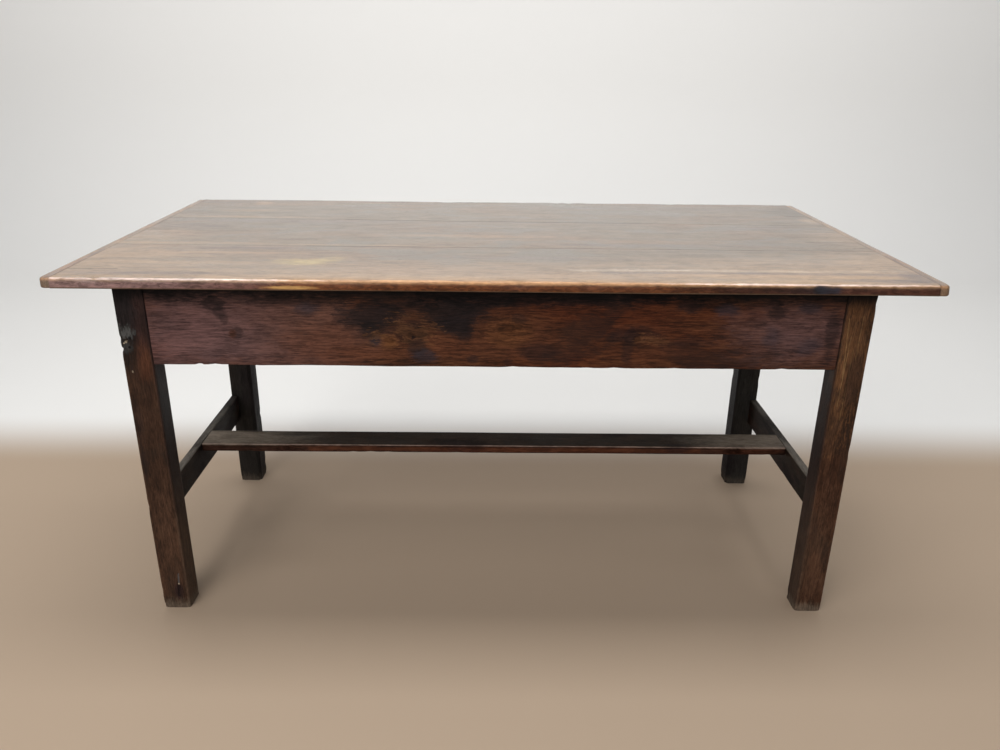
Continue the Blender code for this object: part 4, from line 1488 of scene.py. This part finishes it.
    def knot_hole(self, bench: Bench) -> None:
        """Sinks the broken knot high on the left front leg, its notch, and the split in the foot.

        Args:
            bench: The leg being shaped.
        """
        outer, front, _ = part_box("leg_front_left")[0]
        bench.refine(Vector((-0.719, front, 0.620)), 0.030, 3)
        pits = [(-0.723, 0.627, 3.5, 7), (-0.711, 0.629, 2.2, 4.5), (-0.722, 0.608, 2.5, 5),
                (-0.717, 0.640, 1.2, 8), (-0.726, 0.617, 2.0, 5)]
        for x, z, deep, wide in pits:
            bench.dent(Vector((x, front, z)), Vector((0, deep * MILLIMETRE, 0)), wide * MILLIMETRE)
        bench.dent(Vector((outer, front, 0.609)), Vector((0.0026, 0.002, 0)), 6 * MILLIMETRE)
        bench.dent(Vector((outer, front, 0.632)), Vector((0.0012, 0.001, 0)), 10 * MILLIMETRE)
        bench.split(Crack((-0.6935, front, 0.092), (-0.6985, front, 0.018), Y_AXIS, depth=6 * MILLIMETRE,
                          open_end=False), 4)

    def rail_traces(self, node: str, low: Vector, high: Vector, seed: float) -> list[Trace]:
        """The marks of use on one apron or stretcher, with painted shadow, sheen and reflections among them.

        Args:
            node: Its solid.
            low: Its low corner.
            high: Its high corner.
            seed: What the scattered marks are drawn from.

        Returns:
            The marks, the lowest first.
        """
        if node == "apron_front":
            traces = on_face(APRON_MARKS, 1, low.y, 20 * MILLIMETRE)
        elif "apron" in node:
            small, large = (0.02, 0.02, 0.012), (0.08, 0.08, 0.035)
            # the first row scatters the painted sheen over the aprons that are not seen from the front
            rows = ((PAINTED_PURPLE_SHEEN.faint(0.5), 4, (0.06, 0.06, 0.04), (0.14, 0.14, 0.07)),
                    (RUST.faint(0.8), 6, small, large),
                    (INK.faint(0.9), 10, small, large),
                    (BLUE.faint(0.8), 4, small, (0.03, 0.03, 0.016)))
            traces = []
            for number, (stain, count, *sizes) in enumerate(rows):
                traces += scatter(stain, low, high, count, tuple(sizes), seed + number)
        elif node == "centre_stretcher":
            traces = [
                Band(replace(BLACK, tint=(0.0225, 0.0130, 0.0064)), Z_AXIS, high.z, 1.5 * MILLIMETRE),
                # painted sheen on both ends of the centre stretcher's top
                Blot(PAINTED_END_SHEEN, (low.x + 0.06, 0, high.z), (0.16, 0.06, 0.004)),
                Blot(PAINTED_END_SHEEN.faint(0.8), (high.x - 0.06, 0, high.z), (0.14, 0.06, 0.004)),
                Stroke(PALE_ARRIS, (low.x, low.y, high.z), (high.x, low.y, high.z), 1.8 * MILLIMETRE),
                Stroke(RUST.faint(0.8), (-0.45, low.y, 0.255), (0.50, low.y, 0.255), 5 * MILLIMETRE),
            ]
            traces += scatter(INK.faint(0.7), low, high, 8, ((0.02, 0.01, 0.01), (0.07, 0.02, 0.02)), seed)
        else:
            middle = (low.x + high.x) / 2
            traces = [
                # painted reflection of the backdrop on the top of each end stretcher, strongest near the
                # front
                Blot(PAINTED_WALL_REFLECTION, (middle, low.y + 0.06, high.z), (0.03, 0.20, 0.003)),
                Blot(PAINTED_WALL_REFLECTION.faint(0.35), (middle, 0.10, high.z), (0.03, 0.30, 0.003)),
            ]
            traces += scatter(INK.faint(0.8), low, high, 8, ((0.02, 0.02, 0.01), (0.02, 0.07, 0.03)), seed)
        if "apron" in node:
            axis = 0 if high.x - low.x > high.y - low.y else 1
            along, across = (X_AXIS, Y_AXIS) if axis == 0 else (Y_AXIS, X_AXIS)
            inside = high if (low + high)[1 - axis] < 0 else low
            traces.append(Band(RAW, across, inside[1 - axis], 1.2 * MILLIMETRE))
            for corner in (low, high):
                traces.append(Band(SOOT_AND_SHADE.faint(0.5), along, corner[axis], 1.6 * MILLIMETRE))
            # painted shadow of the top's overhang, with grime, darkest at the top of the apron and fading
            # over 46 mm
            traces.append(Band(SOOT_AND_SHADE, Z_AXIS, high.z, 46 * MILLIMETRE))
        return traces

    def rail(self, node: str, axis: int, slot: str, oak: Oak, seed: float, low: Vector,
             high: Vector) -> None:
        """Shapes and dresses one apron or stretcher.

        Args:
            node: Its solid.
            axis: The axis that it runs along.
            slot: Which kind of piece it is, apron or rail.
            oak: Its finish.
            seed: Where in the tree it was cut.
            low: Its low corner without its tenons.
            high: Its high corner without its tenons.
        """
        bench = block("worn_" + node, low, high)
        for index in range(3):
            bench.divide(index, self.cell)

        def on_arris(p: Vector, q: Vector) -> bool:
            """Whether an edge lies on two of the block's faces."""
            sides = [index for index in range(3) for corner in (low, high)
                     if near(p[index], corner[index]) and near(q[index], corner[index])]
            return len(sides) > 1

        bench.bevel(on_arris, self.arris, 3)
        stretch = tuple(3 if index == axis else 1 for index in range(3))
        bench.weather("planing", 0.06, 1.0 * MILLIMETRE, seed, None, stretch)
        far = low.copy()
        far[axis] = high[axis]
        if slot == "apron":
            bench.weather("lower_edge", 0.03, 3 * MILLIMETRE, seed + 1,
                          lambda p: fade(p.z - low.z, 0.008), stretch, 0.75)
        inward = Vector((0, 1.2, 1.2)) if axis == 0 else Vector((1.2 if low.x < 0 else 0, 0, 1.2))
        bench.batter(low, far, inward * MILLIMETRE, 6, seed)
        knots: list[Knot] = []
        if node == "apron_front":
            nick = Vector((-0.586, low.y, low.z))
            bench.refine(nick, 0.018, 2)
            bench.dent(nick, Vector((0, 0.001, 0.0035)), 7 * MILLIMETRE)
            bench.dent(nick + Vector((0.006, 0, 0)), Vector((0, 0, 0.002)), 4 * MILLIMETRE)
            knots = [Knot((-0.510, low.y, 0.646), 0.016), Knot((-0.208, low.y, 0.634), 0.020),
                     Knot((-0.165, low.y, 0.643), 0.022), Knot((0.275, low.y, 0.640), 0.018),
                     Knot((-0.120, low.y, 0.700), 0.024), Knot((0.020, low.y, 0.660), 0.030, 2.5)]
        elif axis == 0:
            chance = random.Random(seed)
            for side in (low.y, high.y):
                for _ in range(3):
                    knots.append(Knot((chance.uniform(-0.6, 0.6), side, (low.z + high.z) / 2), 0.018))
        grain = Grain.LENGTHWISE if axis == 0 else Grain.FRONT_TO_BACK
        timber = Timber("oak_" + node, oak, grain, low, high, seed, knots)
        self.pieces.append(bench.done(timber.finish(self.rail_traces(node, low, high, seed)), slot, node))

    def build(self) -> list[bpy.types.Object]:
        """Makes the legs and what ties them."""
        for number, (end, side) in enumerate((e, s) for e in ("left", "right") for s in ("front", "back")):
            self.leg(end, side, 3.3 + number * 1.9)
        left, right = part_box("leg_front_left"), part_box("leg_back_right")
        for number, side in enumerate(("front", "back")):
            node = "apron_" + side
            low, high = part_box(node)
            low.x, high.x = left[1].x + FIT, right[0].x - FIT
            self.rail(node, 0, "apron", self.apron_oak, 21.3 + number, low, high)
        for number, end in enumerate(("left", "right")):
            for node, slot, oak in (("apron_" + end, "apron", self.apron_oak),
                                    ("end_stretcher_" + end, "rail", self.end_oak_in_shade)):
                low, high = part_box(node)
                low.y, high.y = left[1].y + FIT, right[0].y - FIT
                self.rail(node, 1, slot, oak, 31.7 + number * 2.3 + (slot == "rail") * 5, low, high)
        low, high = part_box("centre_stretcher")
        low.x, high.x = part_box("end_stretcher_left")[1].x + FIT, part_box("end_stretcher_right")[0].x - FIT
        self.rail("centre_stretcher", 0, "rail", self.rail_oak, 44.1, low, high)
        return self.pieces


@dataclass
class Fixings:
    """The pegs, bearers, blocks, screws and nails, which keep their solids."""

    bare_oak = Oak(deep=(0.055, 0.033, 0.019), middle=(0.120, 0.075, 0.045), bright=(0.200, 0.132, 0.080),
                   murk=(0.075, 0.055, 0.042), rough=0.75, gleam=0.15)

    def steel(self) -> bpy.types.Material:
        """Mixes old steel, browned and dull.

        Returns:
            The material of the screws and the nails.
        """
        paint = Paint("old_steel")
        place = paint.node("TexCoord", output="Object")
        rust = paint.smooth(paint.noise(place, 420, 4, 0.65), 0.42, 0.62)
        colour = paint.mix(rust, (0.11, 0.10, 0.095), (0.085, 0.040, 0.022))
        rough = rust * 0.35 + 0.42
        return paint.feed({"Base Color": colour, "Metallic": 1 - rust * 0.85, "Roughness": rough})

    @staticmethod
    def pegged(node: str) -> str:
        """Finds the piece whose finish runs on over a peg's end.

        Args:
            node: The peg's solid.

        Returns:
            The piece's solid.
        """
        end = "left" if "left" in node else "right"
        if "centre" in node:
            return "end_stretcher_" + end
        return "leg_%s_%s" % ("front" if "front" in node else "back", end)

    def dress(self, node: str, material: bpy.types.Material) -> None:
        """Gives a solid its finish.

        Args:
            node: The solid.
            material: Its finish.
        """
        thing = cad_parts[node]
        thing.data.materials.clear()
        thing.data.materials.append(material)

    def build(self) -> list[bpy.types.Object]:
        """Dresses each solid that is not replaced."""
        steel = self.steel()
        dressed = []
        for number, node in enumerate(sorted(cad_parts)):
            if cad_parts[node].hide_render:
                continue
            low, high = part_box(node)
            size = high - low
            if "screw" in node or "nail" in node:
                self.dress(node, steel)
            elif "peg" in node:
                self.dress(node, bpy.data.materials["oak_" + self.pegged(node)])
            else:
                grain = Grain.LENGTHWISE if size.x > size.y else Grain.FRONT_TO_BACK
                timber = Timber("oak_" + node, self.bare_oak, grain, low, high, number)
                self.dress(node, timber.finish())
            dressed.append(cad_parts[node])
        return dressed


@dataclass
class Studio:
    """The floor and backdrop, the lights and the camera.

    Attributes:
        lens: The camera's focal length in pixels of a picture 1000 wide.
        pitch: How far it looks down, in radians.
        yaw: How far it is turned to the left.
        roll: How far it is tipped.
        stand: Where it stands.
    """

    lens: float = 809.5
    pitch: float = 0.3736
    yaw: float = -0.0092
    roll: float = 0.0116
    stand: Place = (-0.0054, -1.8156, 1.1485)

    def floor(self) -> None:
        """A pale floor that turns up into a white backdrop."""
        bpy.ops.object.select_all(action="DESELECT")
        bpy.ops.mesh.primitive_plane_add(size=1, location=(0, -1.5, 0))
        thing = bpy.context.object
        thing.name = "studio_floor"
        thing.scale = (16, 10, 1)
        bpy.ops.object.transform_apply(location=True, rotation=True, scale=True)
        bench = Bench(thing)
        far_edge = 3.4
        bench.pick("EDGE", lambda p, q: min(p.y, q.y) > far_edge)
        bpy.ops.mesh.extrude_region_move(TRANSFORM_OT_translate={"value": (0, 0, 4.5)})
        bpy.ops.object.mode_set(mode="OBJECT")
        bench.bevel(lambda p, q: min(p.y, q.y) > far_edge and max(p.z, q.z) < 0.1, 1.0, 14)
        bpy.ops.object.shade_smooth()
        paint = Paint("studio_pale")
        back = paint.dot(paint.node("TexCoord", output="Object"), Y_AXIS)
        wall = paint.smooth(back, 0.36, 0.72)
        colour = paint.mix(wall, (0.43, 0.325, 0.235), (0.84, 0.83, 0.81))
        thing.data.materials.append(paint.feed({"Base Color": colour, "Roughness": 0.8}))

    def lamp(self, name: str, place: Vector, target: Vector, size: tuple[float, float], power: float,
             colour: Colour) -> None:
        """Sets up a soft light that the camera doesn't see.

        Args:
            name: Its name.
            place: Where it hangs.
            target: Where it aims.
            size: Its width and height in metres.
            power: Its power in watts.
            colour: Its colour.
        """
        data = bpy.data.lights.new(name, "AREA")
        data.shape = "RECTANGLE"
        data.size, data.size_y = size
        data.energy = power
        data.color = colour
        thing = bpy.data.objects.new(name, data)
        bpy.context.scene.collection.objects.link(thing)
        thing.location = place
        thing.rotation_mode = "QUATERNION"
        thing.rotation_quaternion = (target - place).to_track_quat("-Z", "Y")
        thing.visible_camera = False

    def light(self) -> None:
        """Soft light from overhead and the front, and a pale world."""
        world = bpy.data.worlds.new("studio")
        bpy.context.scene.world = world
        world.use_nodes = True
        background = world.node_tree.nodes["Background"]
        background.inputs["Color"].default_value = (0.95, 0.97, 1.0, 1)
        background.inputs["Strength"].default_value = 0.25
        middle = Vector((0, -0.3, 0.6))
        self.lamp("window", Vector((-0.8, -4.2, 1.9)), middle, (3.6, 2.4), 88, (1.0, 0.97, 0.94))
        self.lamp("key", Vector((-1.6, -2.4, 3.0)), middle, (2.0, 1.4), 35, (1.0, 0.99, 0.97))
        self.lamp("overhead", Vector((0, -0.3, 3.2)), middle, (3.2, 0.8), 54, (0.99, 1.0, 1.0))
        self.lamp("wash", Vector((0, 1.5, 3.4)), Vector((0, 3.6, 1.2)), (6.5, 0.8), 60, (1, 1, 1))

    def camera(self) -> None:
        """The camera at the photograph's place."""
        data = bpy.data.cameras.new("camera")
        picture_width = 1000
        data.sensor_width = 36
        data.lens = self.lens * data.sensor_width / picture_width
        data.clip_start = 0.05
        thing = bpy.data.objects.new("camera", data)
        bpy.context.scene.collection.objects.link(thing)
        turn = Matrix.Rotation(self.yaw, 3, "Z")
        right = turn @ Vector(X_AXIS)
        ahead = turn @ Vector((0, math.cos(self.pitch), -math.sin(self.pitch)))
        above = turn @ Vector((0, math.sin(self.pitch), math.cos(self.pitch)))
        side = math.cos(self.roll) * right + math.sin(self.roll) * above
        upward = math.cos(self.roll) * above - math.sin(self.roll) * right
        turned = Matrix((side, upward, -ahead)).transposed().to_4x4()
        thing.matrix_world = Matrix.Translation(self.stand) @ turned
        bpy.context.scene.camera = thing

    def build(self) -> None:
        """Sets the whole stage."""
        self.floor()
        self.light()
        self.camera()
        bpy.context.scene.view_settings.view_transform = "Standard"


def main() -> None:
    """Builds the stage and every part of the table, and logs each piece's faces."""
    logging.basicConfig(level=logging.INFO, format="%(message)s")
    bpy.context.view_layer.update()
    Studio().build()
    for assembly in (TableTop(), Frame(), Fixings()):
        for piece in assembly.build():
            LOG.info("%s: %s, %d faces", type(assembly).__name__, piece.name, len(piece.data.polygons))


if __name__ == "__main__":
    main()
